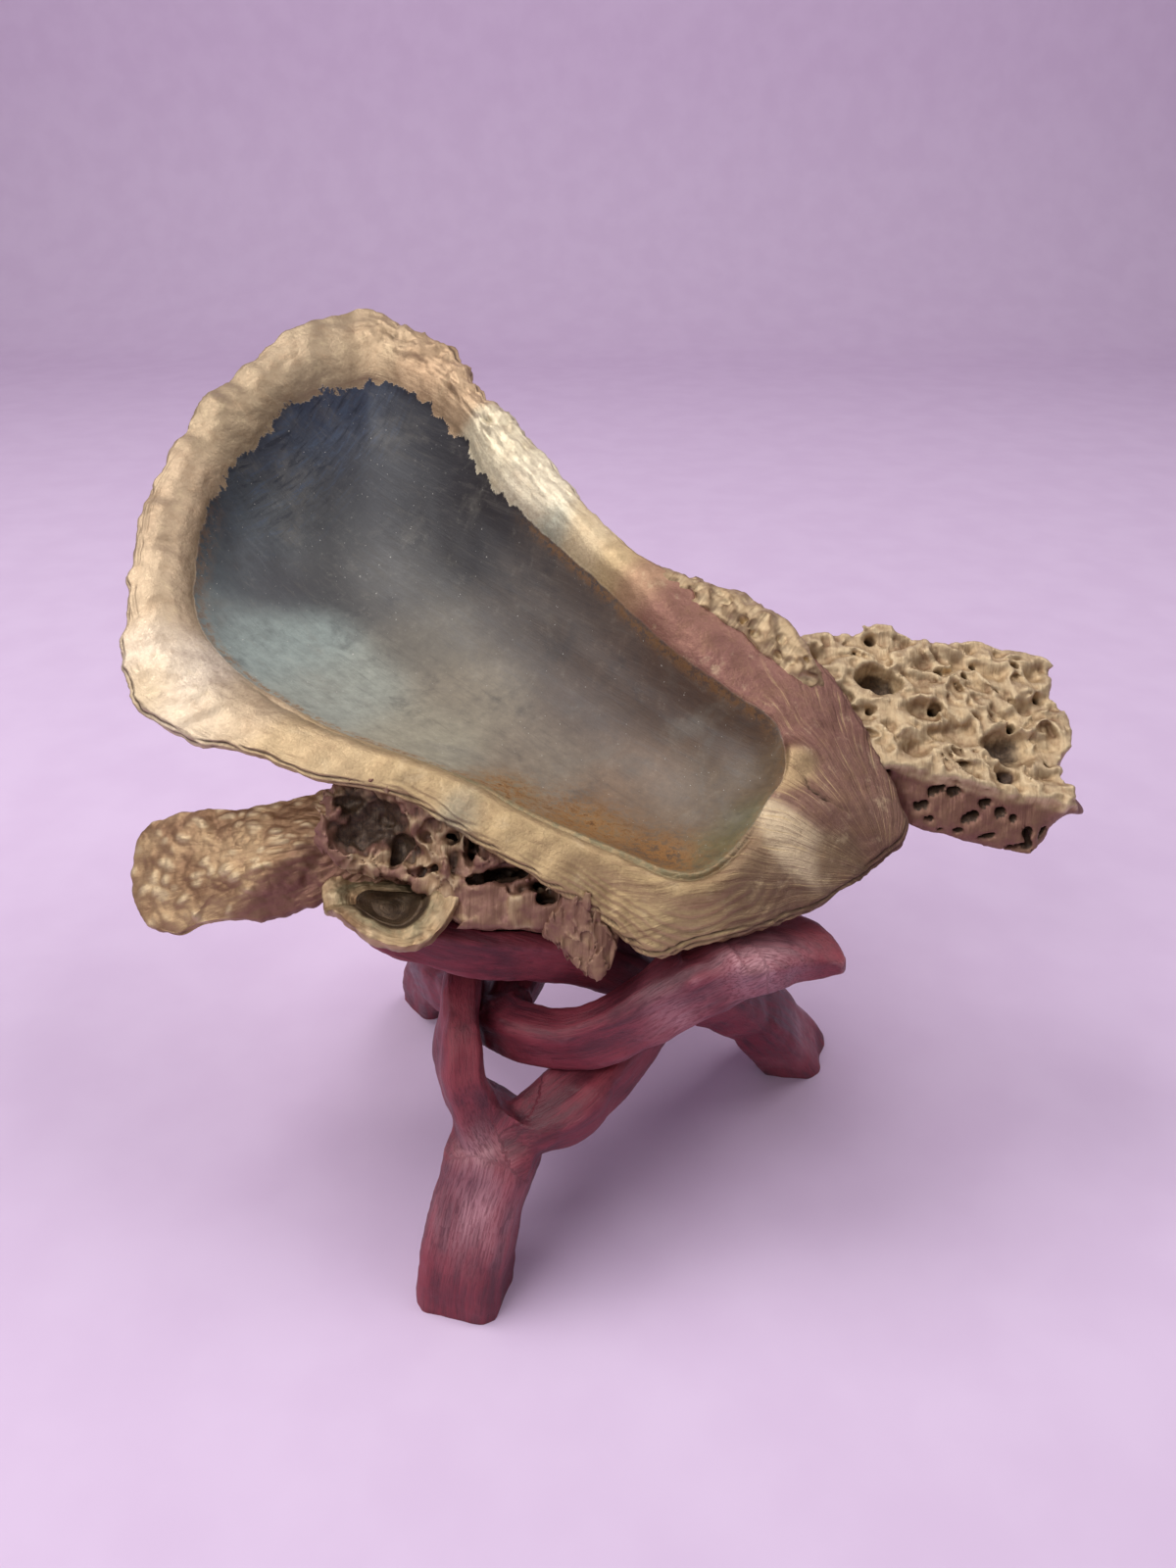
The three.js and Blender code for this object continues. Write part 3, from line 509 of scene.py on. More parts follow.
def surface_net(field, origin, step):
    """The closed surface where a field on a grid is zero, with one point for each crossed cell."""
    inside = field < 0
    shape = np.array(field.shape) - 1
    crossed = np.zeros(shape, bool)
    corners = list(np.ndindex(2, 2, 2))
    window = {c: tuple(slice(c[k], c[k] + shape[k]) for k in range(3)) for c in corners}
    first = inside[window[(0, 0, 0)]]
    for c in corners[1:]:
        crossed |= inside[window[c]] != first
    where = np.argwhere(crossed)
    number = np.full(shape, -1, np.int64)
    number[tuple(where.T)] = np.arange(len(where))
    total = np.zeros((len(where), 3))
    hits = np.zeros(len(where))
    for a in corners:
        for axis in range(3):
            if a[axis]:
                continue
            b = tuple(1 if k == axis else a[k] for k in range(3))
            va = field[tuple((where + a).T)]
            vb = field[tuple((where + b).T)]
            cut = (va < 0) != (vb < 0)
            t = np.where(cut, va / np.where(cut, va - vb, 1), 0)
            spot = np.array(a, float) + t[:, None] * (np.array(b) - np.array(a))
            total += spot * cut[:, None]
            hits += cut
    points = origin + step * (where + total / hits[:, None])
    quads = []
    for axis in range(3):
        u, v = (axis + 1) % 3, (axis + 2) % 3
        lower = [slice(None)] * 3
        upper = [slice(None)] * 3
        lower[axis] = slice(0, -1)
        upper[axis] = slice(1, None)
        edge = np.argwhere(inside[tuple(lower)] != inside[tuple(upper)])
        keep = (edge[:, u] > 0) & (edge[:, v] > 0) & (edge[:, u] < shape[u]) & (edge[:, v] < shape[v])
        edge = edge[keep]
        out = inside[tuple(edge.T)]
        du = np.eye(3, dtype=int)[u]
        dv = np.eye(3, dtype=int)[v]
        none = np.zeros(3, int)
        q = np.stack([number[tuple((edge - s).T)] for s in (none, du, du + dv, dv)], -1)
        q = np.where(out[:, None], q, q[:, ::-1])
        quads.append(q)
    return points, np.vstack(quads)


def part_labels(count, groups):
    """A number for each point, the same for all points that are joined by the groups."""
    label = np.arange(count)
    while True:
        low = label[groups].min(axis=1)
        new = label.copy()
        np.minimum.at(new, groups.ravel(), np.repeat(low, groups.shape[1]))
        new = new[new]
        if (new == label).all():
            return label
        label = new


def in_largest_part(count, groups):
    """Which points belong to the biggest connected part, and each one's number among those."""
    label = part_labels(count, groups)
    names, counts = np.unique(label, return_counts=True)
    keep = label == names[counts.argmax()]
    return keep, np.cumsum(keep) - 1


def largest_surface(field, origin, step):
    """The biggest connected part of the surface where a field is zero: points and quads."""
    points, quads = surface_net(field, origin, step)
    keep, renumber = in_largest_part(len(points), quads)
    return points[keep], renumber[quads[keep[quads].all(axis=1)]]


def edges_of(faces):
    return np.array([(f[k], f[(k + 1) % len(f)]) for f in faces for k in range(len(f))])


def main_body(points, normals, faces):
    """Only the biggest connected part of a mesh with faces of any size."""
    keep, renumber = in_largest_part(len(points), edges_of(faces))
    return points[keep], normals[keep], [tuple(renumber[list(f)]) for f in faces if keep[f[0]]]


def net_normals(points, quads):
    """Outward normals of a mesh of quads."""
    a, b, c, d = (points[quads[:, k]] for k in range(4))
    n = np.cross(c - a, d - b)
    total = np.zeros_like(points)
    for k in range(4):
        np.add.at(total, quads[:, k], n)
    return total / np.maximum(np.linalg.norm(total, axis=1, keepdims=True), 1e-9)


def relaxed(points, quads, rounds, amount):
    """Points drawn towards the middle of their neighbours."""
    pairs = np.vstack([quads[:, [k, (k + 1) % quads.shape[1]]] for k in range(quads.shape[1])])
    for _ in range(rounds):
        total = np.zeros_like(points)
        count = np.zeros(len(points))
        for a, b in ((0, 1), (1, 0)):
            np.add.at(total, pairs[:, a], points[pairs[:, b]])
            np.add.at(count, pairs[:, a], 1)
        points = mix(points, total / count[:, None], amount)
    return points


def hollowness(points, normals, quads, rounds):
    """How far each point lies below its neighbourhood: positive in pits and grooves, negative on ridges."""
    return np.sum((relaxed(points, quads, rounds, 1.0) - points) * normals, axis=1)


def shown_surface(points, quads, axes_and_origin, rounds):
    """A surface's points in the design frame, and how hollow it is at each."""
    shown = placed(points, axes_and_origin)
    return shown, hollowness(shown, net_normals(shown, quads), quads, rounds)


# Materials
def node_tree(name):
    """A new material with an empty Principled shader."""
    material = bpy.data.materials.new(name)
    material.use_nodes = True
    tree = material.node_tree
    tree.nodes.clear()
    output = tree.nodes.new("ShaderNodeOutputMaterial")
    shader = tree.nodes.new("ShaderNodeBsdfPrincipled")
    tree.links.new(shader.outputs["BSDF"], output.inputs["Surface"])
    return material, tree, shader


class Wiring:
    """Short calls for the nodes of one material."""

    def __init__(self, tree):
        self.tree = tree

    def node(self, kind, **settings):
        made = self.tree.nodes.new(kind)
        for key, value in settings.items():
            setattr(made, key, value)
        return made

    def put(self, socket, value):
        if isinstance(value, bpy.types.NodeSocket):
            self.tree.links.new(value, socket)
        else:
            socket.default_value = value

    def attribute(self, key, output="Fac"):
        return self.node("ShaderNodeAttribute", attribute_name=key).outputs[output]

    def position(self):
        return self.node("ShaderNodeTexCoord").outputs["Object"]

    def math(self, operation, a, b):
        made = self.node("ShaderNodeMath", operation=operation)
        self.put(made.inputs[0], a)
        self.put(made.inputs[1], b)
        return made.outputs[0]

    def times(self, a, b):
        return self.math("MULTIPLY", a, b)

    def plus(self, a, b):
        return self.math("ADD", a, b)

    def scaled(self, vector, factors):
        made = self.node("ShaderNodeVectorMath", operation="MULTIPLY")
        self.put(made.inputs[0], vector)
        made.inputs[1].default_value = factors
        return made.outputs[0]

    def noise(self, vector, scale, detail, roughness, distortion=0.0):
        made = self.node("ShaderNodeTexNoise")
        self.put(made.inputs["Vector"], vector)
        made.inputs["Scale"].default_value = scale
        made.inputs["Detail"].default_value = detail
        made.inputs["Roughness"].default_value = roughness
        made.inputs["Distortion"].default_value = distortion
        return made.outputs["Fac"]

    def drawn_noise(self, vector, factors, detail, roughness, distortion=0.0):
        """Noise drawn out along some directions of a vector in millimetres, in features per millimetre."""
        return self.noise(self.scaled(vector, factors), 1.0, detail, roughness, distortion)

    def ramp(self, value, low, high, to_low=0.0, to_high=1.0):
        made = self.node("ShaderNodeMapRange", interpolation_type="SMOOTHSTEP")
        self.put(made.inputs["Value"], value)
        for key, number in (("From Min", low), ("From Max", high), ("To Min", to_low), ("To Max", to_high)):
            made.inputs[key].default_value = number
        return made.outputs["Result"]

    def blend(self, amount, a, b):
        made = self.node("ShaderNodeMix", data_type="RGBA", clamp_factor=True)
        self.put(made.inputs[0], amount)
        self.put(made.inputs[6], a)
        self.put(made.inputs[7], b)
        return made.outputs[2]

    def tinted(self, base, pattern, span, tint, where=None):
        """The base with a tint over it, as strong as the ramp of the pattern: from, to, strength at each.
        Where names an attribute that the strength is multiplied by."""
        amount = self.ramp(pattern, *span)
        if where:
            amount = self.times(self.attribute(where), amount)
        return self.blend(amount, base, tint)

    def bump(self, height, distance, strength):
        made = self.node("ShaderNodeBump")
        made.inputs["Strength"].default_value = strength
        made.inputs["Distance"].default_value = distance
        self.put(made.inputs["Height"], height)
        return made.outputs["Normal"]


def rgb(r, g, b):
    """A screen colour, 0 to 255, as the renderer's linear one."""
    c = np.array([r, g, b]) / 255.0
    lin = np.where(c <= 0.04045, c / 12.92, ((c + 0.055) / 1.055) ** 2.4)
    return (float(lin[0]), float(lin[1]), float(lin[2]), 1.0)


# Pale gold: the gold's own paler patches, and the painted highlight on crests and tops
GOLD_PALE_AND_HIGHLIGHT = rgb(218, 196, 158)
GOLD = rgb(188, 158, 118)
GOLD_DEEP = rgb(136, 104, 74)
GOLD_DRAWN = rgb(200, 172, 126)  # pale lines at the hinge
ROSE = rgb(124, 82, 76)
ROSE_DRAWN = rgb(92, 58, 48)  # dark lines at the hinge
# Painted shade, near black, for pits, gaps and creases
CREVICE_SHADE = rgb(34, 24, 22)
VERDIGRIS = rgb(126, 120, 92)
CLOUD_PALE = rgb(128, 122, 112)
CLOUD_DARK = rgb(38, 36, 42)
STREAK_PALE = rgb(140, 132, 120)
STREAK_DARK = rgb(44, 42, 46)
MOTTLE_PALE = rgb(158, 152, 140)
MOTTLE_DARK = rgb(52, 48, 50)
BRUSH_BLUE = rgb(64, 76, 96)
BRUSH_BLACK = rgb(24, 28, 42)
DUST = rgb(205, 200, 190)
RUST = rgb(150, 104, 52)
RUST_DARK = rgb(70, 44, 28)
STAIN = rgb(126, 46, 60)
STAIN_DARK = rgb(84, 29, 42)
STAIN_PALE = rgb(146, 60, 70)
STAIN_PORE = rgb(54, 20, 34)
# Painted shade for the hollows of the wood
STAIN_SHADE = rgb(48, 18, 32)
# Pale wood for the ridges: a painted highlight along the edges, and rubbed wear
WOOD_HIGHLIGHT_AND_WEAR = rgb(188, 136, 142)
FLOOR = rgb(214, 190, 219)
FLOOR_PALE = rgb(218, 195, 223)
GOLD_ROUGHNESS = (0.3, 0.7, 0.42, 0.6)  # over the grain: from, to, roughness at each
PAINT_ROUGHNESS = (0.3, 0.7, 0.42, 0.58)  # over the streaks


def gold_paint(name, rose=0.0, metal=0.6):
    """Satin gold paint over shell: grainy, with a painted highlight on ridges, and painted shade, near black,
    in the deepest places.
    Attributes: flow (distance across the growth lines, then two along), hollow (painted shade), crest
    (painted highlight), rose, green."""
    material, tree, shader = node_tree(name)
    w = Wiring(tree)
    place = w.position()
    lines = w.drawn_noise(w.attribute("flow", "Vector"), (1.5, 0.12, 0.12), 5, 0.6)
    broad = w.noise(place, 110, 3, 0.5)
    grain = w.noise(place, 1500, 3, 0.7)
    patches = w.noise(place, 380, 4, 0.6)
    colour = w.blend(w.ramp(broad, 0.4, 0.62), GOLD_DEEP, GOLD)
    colour = w.tinted(colour, patches, (0.5, 0.72, 0, 0.5), GOLD_DEEP)
    # Painted highlight: the crest attribute lightens ridges and tops towards the pale gold
    colour = w.blend(w.attribute("crest_highlight"), colour, GOLD_PALE_AND_HIGHLIGHT)
    colour = w.tinted(colour, lines, (0.36, 0.5, 0.3, 0.0), GOLD_DEEP)
    bare = w.times(w.ramp(w.attribute("rose"), 0, 1, rose, 1.0), w.ramp(patches, 0.3, 0.6, 1.0, 0.75))
    colour = w.blend(bare, colour, ROSE)
    colour = w.tinted(colour, patches, (0.35, 0.55, 0.3, 1.0), VERDIGRIS, "green")
    # Painted shade: the hollow attribute darkens pits and creases
    colour = w.tinted(colour, w.attribute("hollow"), (0.05, 0.9, 0, 0.95), CREVICE_SHADE)
    colour = w.tinted(colour, grain, (0.3, 0.8, 0.3, 0.0), GOLD_DEEP)
    w.put(shader.inputs["Base Color"], colour)
    shader.inputs["Metallic"].default_value = metal
    w.put(shader.inputs["Roughness"], w.ramp(grain, *GOLD_ROUGHNESS))
    height = w.plus(w.times(lines, 0.8), w.times(grain, 0.25))
    w.put(shader.inputs["Normal"], w.bump(height, 0.0004, 0.7))
    return material


def hollow_paint(w, place, flow, streaks):
    """Colour of the dark paint: broad tones with a painted sheen in their pale patches, clouds and streaks,
    strokes of a brush at the wide end, specks of dust, and rust along the lower edge."""
    strokes = w.drawn_noise(flow, (0.15, 0.9, 0.16), 6, 0.7, 0.6)
    clouds = w.noise(place, 60, 6, 0.65, 0.4)
    mottle = w.noise(place, 330, 6, 0.75)
    flecks = w.noise(place, 1700, 2, 0.5)
    rusty = w.noise(place, 620, 6, 0.8)
    # Broad colours of the dark paint, with a painted sheen in the pale patches
    colour = w.attribute("hollow_tone_and_sheen", "Color")
    colour = w.tinted(colour, clouds, (0.52, 0.72, 0.0, 0.4), CLOUD_PALE)
    colour = w.tinted(colour, clouds, (0.3, 0.47, 0.5, 0.0), CLOUD_DARK)
    colour = w.tinted(colour, streaks, (0.5, 0.75, 0.0, 0.2), STREAK_PALE)
    colour = w.tinted(colour, streaks, (0.26, 0.5, 0.32, 0.0), STREAK_DARK)
    colour = w.tinted(colour, mottle, (0.3, 0.7, 0.3, 0.0), MOTTLE_DARK)
    colour = w.tinted(colour, mottle, (0.55, 0.8, 0.0, 0.25), MOTTLE_PALE)
    colour = w.tinted(colour, strokes, (0.5, 0.66, 0.0, 0.7), BRUSH_BLUE, "brushed")
    colour = w.tinted(colour, strokes, (0.36, 0.48, 0.75, 0.0), BRUSH_BLACK, "brushed")
    colour = w.tinted(colour, flecks, (0.73, 0.77, 0.0, 0.75), DUST)
    colour = w.tinted(colour, rusty, (0.42, 0.56, 0.0, 1.0), RUST, "rust")
    return w.tinted(colour, rusty, (0.52, 0.62, 0.0, 0.8), RUST_DARK, "rust")


def lip_paint(w, grain, patches, lines, drawn_lines):
    """Colour of the gold: the lip's broad tones, with a painted highlight in their whitish patches, patches,
    fine lines, the lines of the hinge, and painted shade in the low places.
    """
    # Broad colours of the gold, with a painted highlight in the whitish patches of the near lip
    colour = w.attribute("gilt_and_highlight", "Color")
    colour = w.tinted(colour, patches, (0.45, 0.7, 0, 0.3), GOLD_DEEP)
    colour = w.tinted(colour, patches, (0.3, 0.45, 0.35, 0.0), GOLD_PALE_AND_HIGHLIGHT)
    colour = w.tinted(colour, lines, (0.34, 0.5, 0.6, 0.0), GOLD_DEEP, "lined")
    colour = w.tinted(colour, drawn_lines, (0.32, 0.5, 0.55, 0.0), ROSE_DRAWN, "drawn")
    colour = w.tinted(colour, drawn_lines, (0.54, 0.68, 0.0, 0.6), GOLD_DRAWN, "drawn")
    # Painted shade: the hollow attribute darkens the lip's low places
    colour = w.tinted(colour, w.attribute("hollow"), (0.05, 0.9, 0, 0.92), CREVICE_SHADE)
    return w.tinted(colour, grain, (0.3, 0.8, 0.25, 0.0), GOLD_DEEP)


def valve_paint():
    """The big valve: gold outside and on the lip, dark smooth paint in the hollow, a brushed edge between.
    Attributes: flow (signed distance from the paint edge, along, across), tone and gilt (broad colours of the
    hollow and of the lip, with a painted sheen in the hollow's pale patches and a painted highlight in the
    lip's whitish ones), combed (place along and between the hinge's lines), drawn and lined (how much of the
    hinge's lines and the growth lines shows), hollow (painted shade in low places), tarnish, brushed, rust,
    ragged."""
    material, tree, shader = node_tree("gold_and_dark_paint")
    w = Wiring(tree)
    place = w.position()
    flow = w.attribute("flow", "Vector")
    parts = w.node("ShaderNodeSeparateXYZ")
    w.put(parts.inputs[0], flow)
    from_paint_edge = parts.outputs[0]
    lines = w.drawn_noise(flow, (1.6, 0.05, 0.05), 5, 0.6)
    drawn_lines = w.drawn_noise(w.attribute("combed", "Vector"), (1.7, 0.07, 1.0), 5, 0.65)
    streaks = w.drawn_noise(flow, (0.3, 0.07, 1.0), 8, 0.72, 0.35)
    grain = w.noise(place, 1500, 3, 0.7)
    patches = w.noise(place, 260, 5, 0.65)
    gold = lip_paint(w, grain, patches, lines, drawn_lines)
    hollow = hollow_paint(w, place, flow, streaks)
    # Brushed edge of the dark paint
    brush = w.drawn_noise(flow, (0.1, 0.16, 0.16), 5, 0.68)
    ragged = w.times(w.math("SUBTRACT", brush, 0.5), w.attribute("ragged"))
    dark = w.ramp(w.plus(from_paint_edge, ragged), -0.25, 0.1, 1.0, 0.0)
    skin = w.blend(dark, gold, hollow)
    skin = w.tinted(skin, w.noise(place, 420, 4, 0.7), (0.4, 0.6, 0.1, 0.8), VERDIGRIS, "tarnish")
    w.put(shader.inputs["Base Color"], skin)
    w.put(shader.inputs["Metallic"], w.times(w.math("SUBTRACT", 1.0, dark), 0.6))
    rough = w.node("ShaderNodeMix", data_type="FLOAT")
    w.put(rough.inputs[0], dark)
    w.put(rough.inputs[2], w.ramp(grain, *GOLD_ROUGHNESS))
    w.put(rough.inputs[3], w.ramp(streaks, *PAINT_ROUGHNESS))
    w.put(shader.inputs["Roughness"], rough.outputs[0])
    growth = w.times(w.times(lines, w.attribute("lined")), 0.9)
    height = w.plus(growth, w.times(grain, 0.3))
    height = w.plus(height, w.times(drawn_lines, w.attribute("drawn")))
    height = w.plus(height, w.times(patches, 0.5))
    height = w.times(height, w.math("SUBTRACT", 1.0, w.times(dark, 0.85)))
    height = w.plus(height, w.times(w.times(dark, streaks), 0.25))
    w.put(shader.inputs["Normal"], w.bump(height, 0.0004, 0.8))
    return material


def wood(name):
    """Carved wood with a burgundy stain, with painted shade in its hollows, and pale along its ridges: partly
    a painted highlight, partly rubbed wear.
    Attributes: grain (along the branch, then two across it), ridge (painted highlight and wear), hollow
    (painted shade)."""
    material, tree, shader = node_tree(name)
    w = Wiring(tree)
    grain_at = w.attribute("grain", "Vector")
    streaks = w.drawn_noise(grain_at, (0.05, 0.5, 0.5), 6, 0.6, 0.3)
    fine = w.drawn_noise(grain_at, (0.25, 3.0, 3.0), 4, 0.6)
    blotch = w.noise(w.position(), 60, 4, 0.6)
    colour = w.blend(w.ramp(streaks, 0.35, 0.65), STAIN_DARK, STAIN)
    colour = w.tinted(colour, blotch, (0.45, 0.7, 0.0, 0.7), STAIN_PALE)
    colour = w.tinted(colour, fine, (0.3, 0.5, 0.4, 0.0), STAIN_PORE)
    # Pale ridges: a painted highlight along the edges, and rubbed wear at the listed places
    colour = w.tinted(colour, fine, (0.35, 0.6, 0.35, 1.0), WOOD_HIGHLIGHT_AND_WEAR, "ridge_highlight_and_wear")
    # Painted shade in the hollows
    colour = w.blend(w.attribute("hollow"), colour, STAIN_SHADE)
    w.put(shader.inputs["Base Color"], colour)
    w.put(shader.inputs["Roughness"], w.ramp(streaks, 0.3, 0.7, 0.42, 0.6))
    shader.inputs["Specular IOR Level"].default_value = 0.45
    w.put(shader.inputs["Normal"], w.bump(w.plus(fine, streaks), 0.00035, 0.6))
    return material


# Big valve
def core_of(points):
    """The nearest place on the hollow's deepest line, in the valve's plane."""
    a, b = (np.array(v, float) for v in VALVE_CORE)
    way = b - a
    t = np.clip((points[:, :2] - a) @ way / (way @ way), 0, 1)
    return a + t[:, None] * way

# Broad colours of the dark paint, the pale near-side patches a painted sheen: along, across, reach of the
# patch, red, green, blue
HOLLOW_TONES_AND_SHEEN = [
    (162, 18, 11, 52, 62, 82),
    (165, 2, 10, 50, 58, 74),
    (158, -18, 12, 58, 66, 74),
    (150, -33, 9, 72, 80, 84),
    (143, -44, 9, 116, 124, 122),
    (146, 14, 13, 42, 42, 50),
    (152, -4, 12, 70, 70, 71),
    (138, -12, 12, 64, 62, 62),
    (142, -26, 9, 56, 54, 60),
    (130, 12, 14, 36, 33, 38),
    (116, 10, 12, 38, 32, 34),
    (124, -6, 12, 84, 80, 76),
    (127, -36, 13, 148, 158, 152),
    (110, -36, 13, 160, 162, 150),
    (108, -12, 12, 112, 104, 92),
    (98, 4, 12, 84, 74, 68),
    (86, 4, 12, 84, 70, 62),
    (92, -18, 13, 142, 130, 112),
    (88, -34, 12, 162, 154, 134),
    (70, -4, 12, 94, 76, 66),
    (56, 2, 9, 82, 60, 48),
    (40, 3, 7, 88, 64, 46),
    (70, -22, 13, 136, 122, 106),
    (52, -14, 12, 132, 108, 88),
    (40, -14, 10, 118, 100, 82),
    (31, -8, 8, 104, 84, 62),
    (66, -35, 6, 146, 124, 92),
    (48, -31, 7, 138, 108, 72),
    (34, -27, 7, 112, 84, 54),
    (27, -22, 6, 104, 94, 60),
    (26, -12, 5, 112, 108, 78),
]

# Broad colours of the gold on the lip, in the same way; the whitish patches on the near lip at the wide end
# are a painted highlight
LIP_TONES_AND_HIGHLIGHT = [
    (179, 22, 12, 169, 149, 122),
    (175, -3, 12, 167, 147, 119),
    (164, -31, 12, 180, 157, 129),
    (149, -52, 11, 197, 174, 144),
    (139, -57, 6, 223, 205, 182),
    (127, -57, 8, 228, 211, 189),
    (119, -60, 6, 212, 193, 167),
    (115, -55, 8, 197, 174, 143),
    (131, -63, 6, 201, 180, 149),
    (95, -54, 10, 192, 167, 129),
    (79, -46, 9, 191, 165, 124),
    (66, -47, 4, 148, 140, 119),
    (59, -42, 9, 188, 162, 120),
    (37, -42, 8, 184, 157, 116),
    (23, -37, 7, 191, 165, 123),
    (158, 34, 10, 182, 158, 127),
    (149, 34, 7, 190, 159, 127),
    (149, 41, 6, 186, 158, 126),
    (136, 37, 7, 196, 167, 134),
    (118, 29, 7, 230, 218, 188),
    (103, 22, 7, 230, 218, 191),
    (96, 17, 4, 186, 186, 168),
    (88, 20, 7, 220, 199, 162),
    (79, 18, 5, 200, 174, 132),
    (72, 17, 5, 176, 139, 111),
    (61, 15, 7, 142, 99, 88),
    (44, 12, 8, 134, 91, 84),
    (28, 8, 6, 124, 84, 77),
    (24, 1, 3, 190, 162, 122),
    (16, 4, 5, 123, 87, 78),
    (14, -3, 4, 125, 91, 81),
    (5, 1, 5, 122, 89, 79),
    (14, -13, 4, 214, 192, 159),
    (9, -10, 3, 139, 116, 88),
    (17, -26, 6, 142, 118, 92),
    (12, -22, 4, 121, 97, 79),
    (24, -30, 5, 168, 141, 104),
    (20, -40, 6, 196, 170, 126),
    (8, -9, 4, 118, 95, 77),
]
HINGE_TIP = (-2, -5)  # where the lines of the hinge draw together, along and across
VALVE_MIDDLE = (100, -10)  # where the rings of the hollow close up
HOLLOW_SMOOTHING = 90  # rounds of averaging on a grid of 1 mm
RUST_PATCHES = [(50, -32, 9), (34, -28, 7), (66, -37, 6)]  # along, across, reach
TONE_SPREAD = 0.75  # how soft the patches of colour are, for 1 at their reach


def tone_at(tones, along, across):
    """The broad colour at each point, from soft patches that run into each other."""
    total = np.zeros(along.shape + (3,))
    weights = np.zeros(along.shape)
    for a, b, reach, red, green, blue in tones:
        weight = spot(along, across, a, b, TONE_SPREAD * reach) + 1e-9
        total += weight[..., None] * np.array(rgb(red, green, blue)[:3])
        weights += weight
    return total / weights[..., None]


def spot(along, across, a, b, reach):
    """A soft round patch, 1 in its middle."""
    return np.exp(-((along - a) ** 2 + (across - b) ** 2) / reach ** 2)


def hollow_level(p, outline):
    """The hollow's height at each point, its distance from the paint's edge, and how near to it, 0 to 1."""
    across_core = np.linalg.norm(p[:, :2] - core_of(p), axis=1)
    to_edge = -outline_distance(outline, p[:, 0], p[:, 1], None)
    steep = across_core / (across_core + np.maximum(to_edge, 0) + 1e-9)
    return mix(BOWL_FLOOR, PAINT_LEVEL, steep ** HOLLOW_CURVE), to_edge, steep


def hollow_level_map(outline):
    """The hollow's height on a grid of 1 mm, with the creases along its middle lines smoothed out."""
    low = np.floor(outline.min(axis=0)) - 3
    high = np.ceil(outline.max(axis=0)) + 3
    across, along = np.meshgrid(np.arange(low[1], high[1]), np.arange(low[0], high[0]))
    flat = np.column_stack([along.ravel(), across.ravel()])
    height, to_edge, _ = hollow_level(flat, outline)
    inside = (to_edge > 0).reshape(along.shape)
    level = np.where(inside, height.reshape(along.shape), PAINT_LEVEL)
    for _ in range(HOLLOW_SMOOTHING):
        along_sum = np.roll(level, 1, 0) + np.roll(level, -1, 0)
        mean = (along_sum + np.roll(level, 1, 1) + np.roll(level, -1, 1)) / 4
        level = np.where(inside, mean, PAINT_LEVEL)
    return level, low


def map_value(table, corner, step, x, y):
    """A grid's value at each point, blended between the four nearest places."""
    iu = np.clip((x - corner[0]) / step, 0, table.shape[0] - 1.001)
    iv = np.clip((y - corner[1]) / step, 0, table.shape[1] - 1.001)
    i, j = iu.astype(int), iv.astype(int)
    fu, fv = iu - i, iv - j
    return mix(mix(table[i, j], table[i + 1, j], fu), mix(table[i, j + 1], table[i + 1, j + 1], fu), fv)


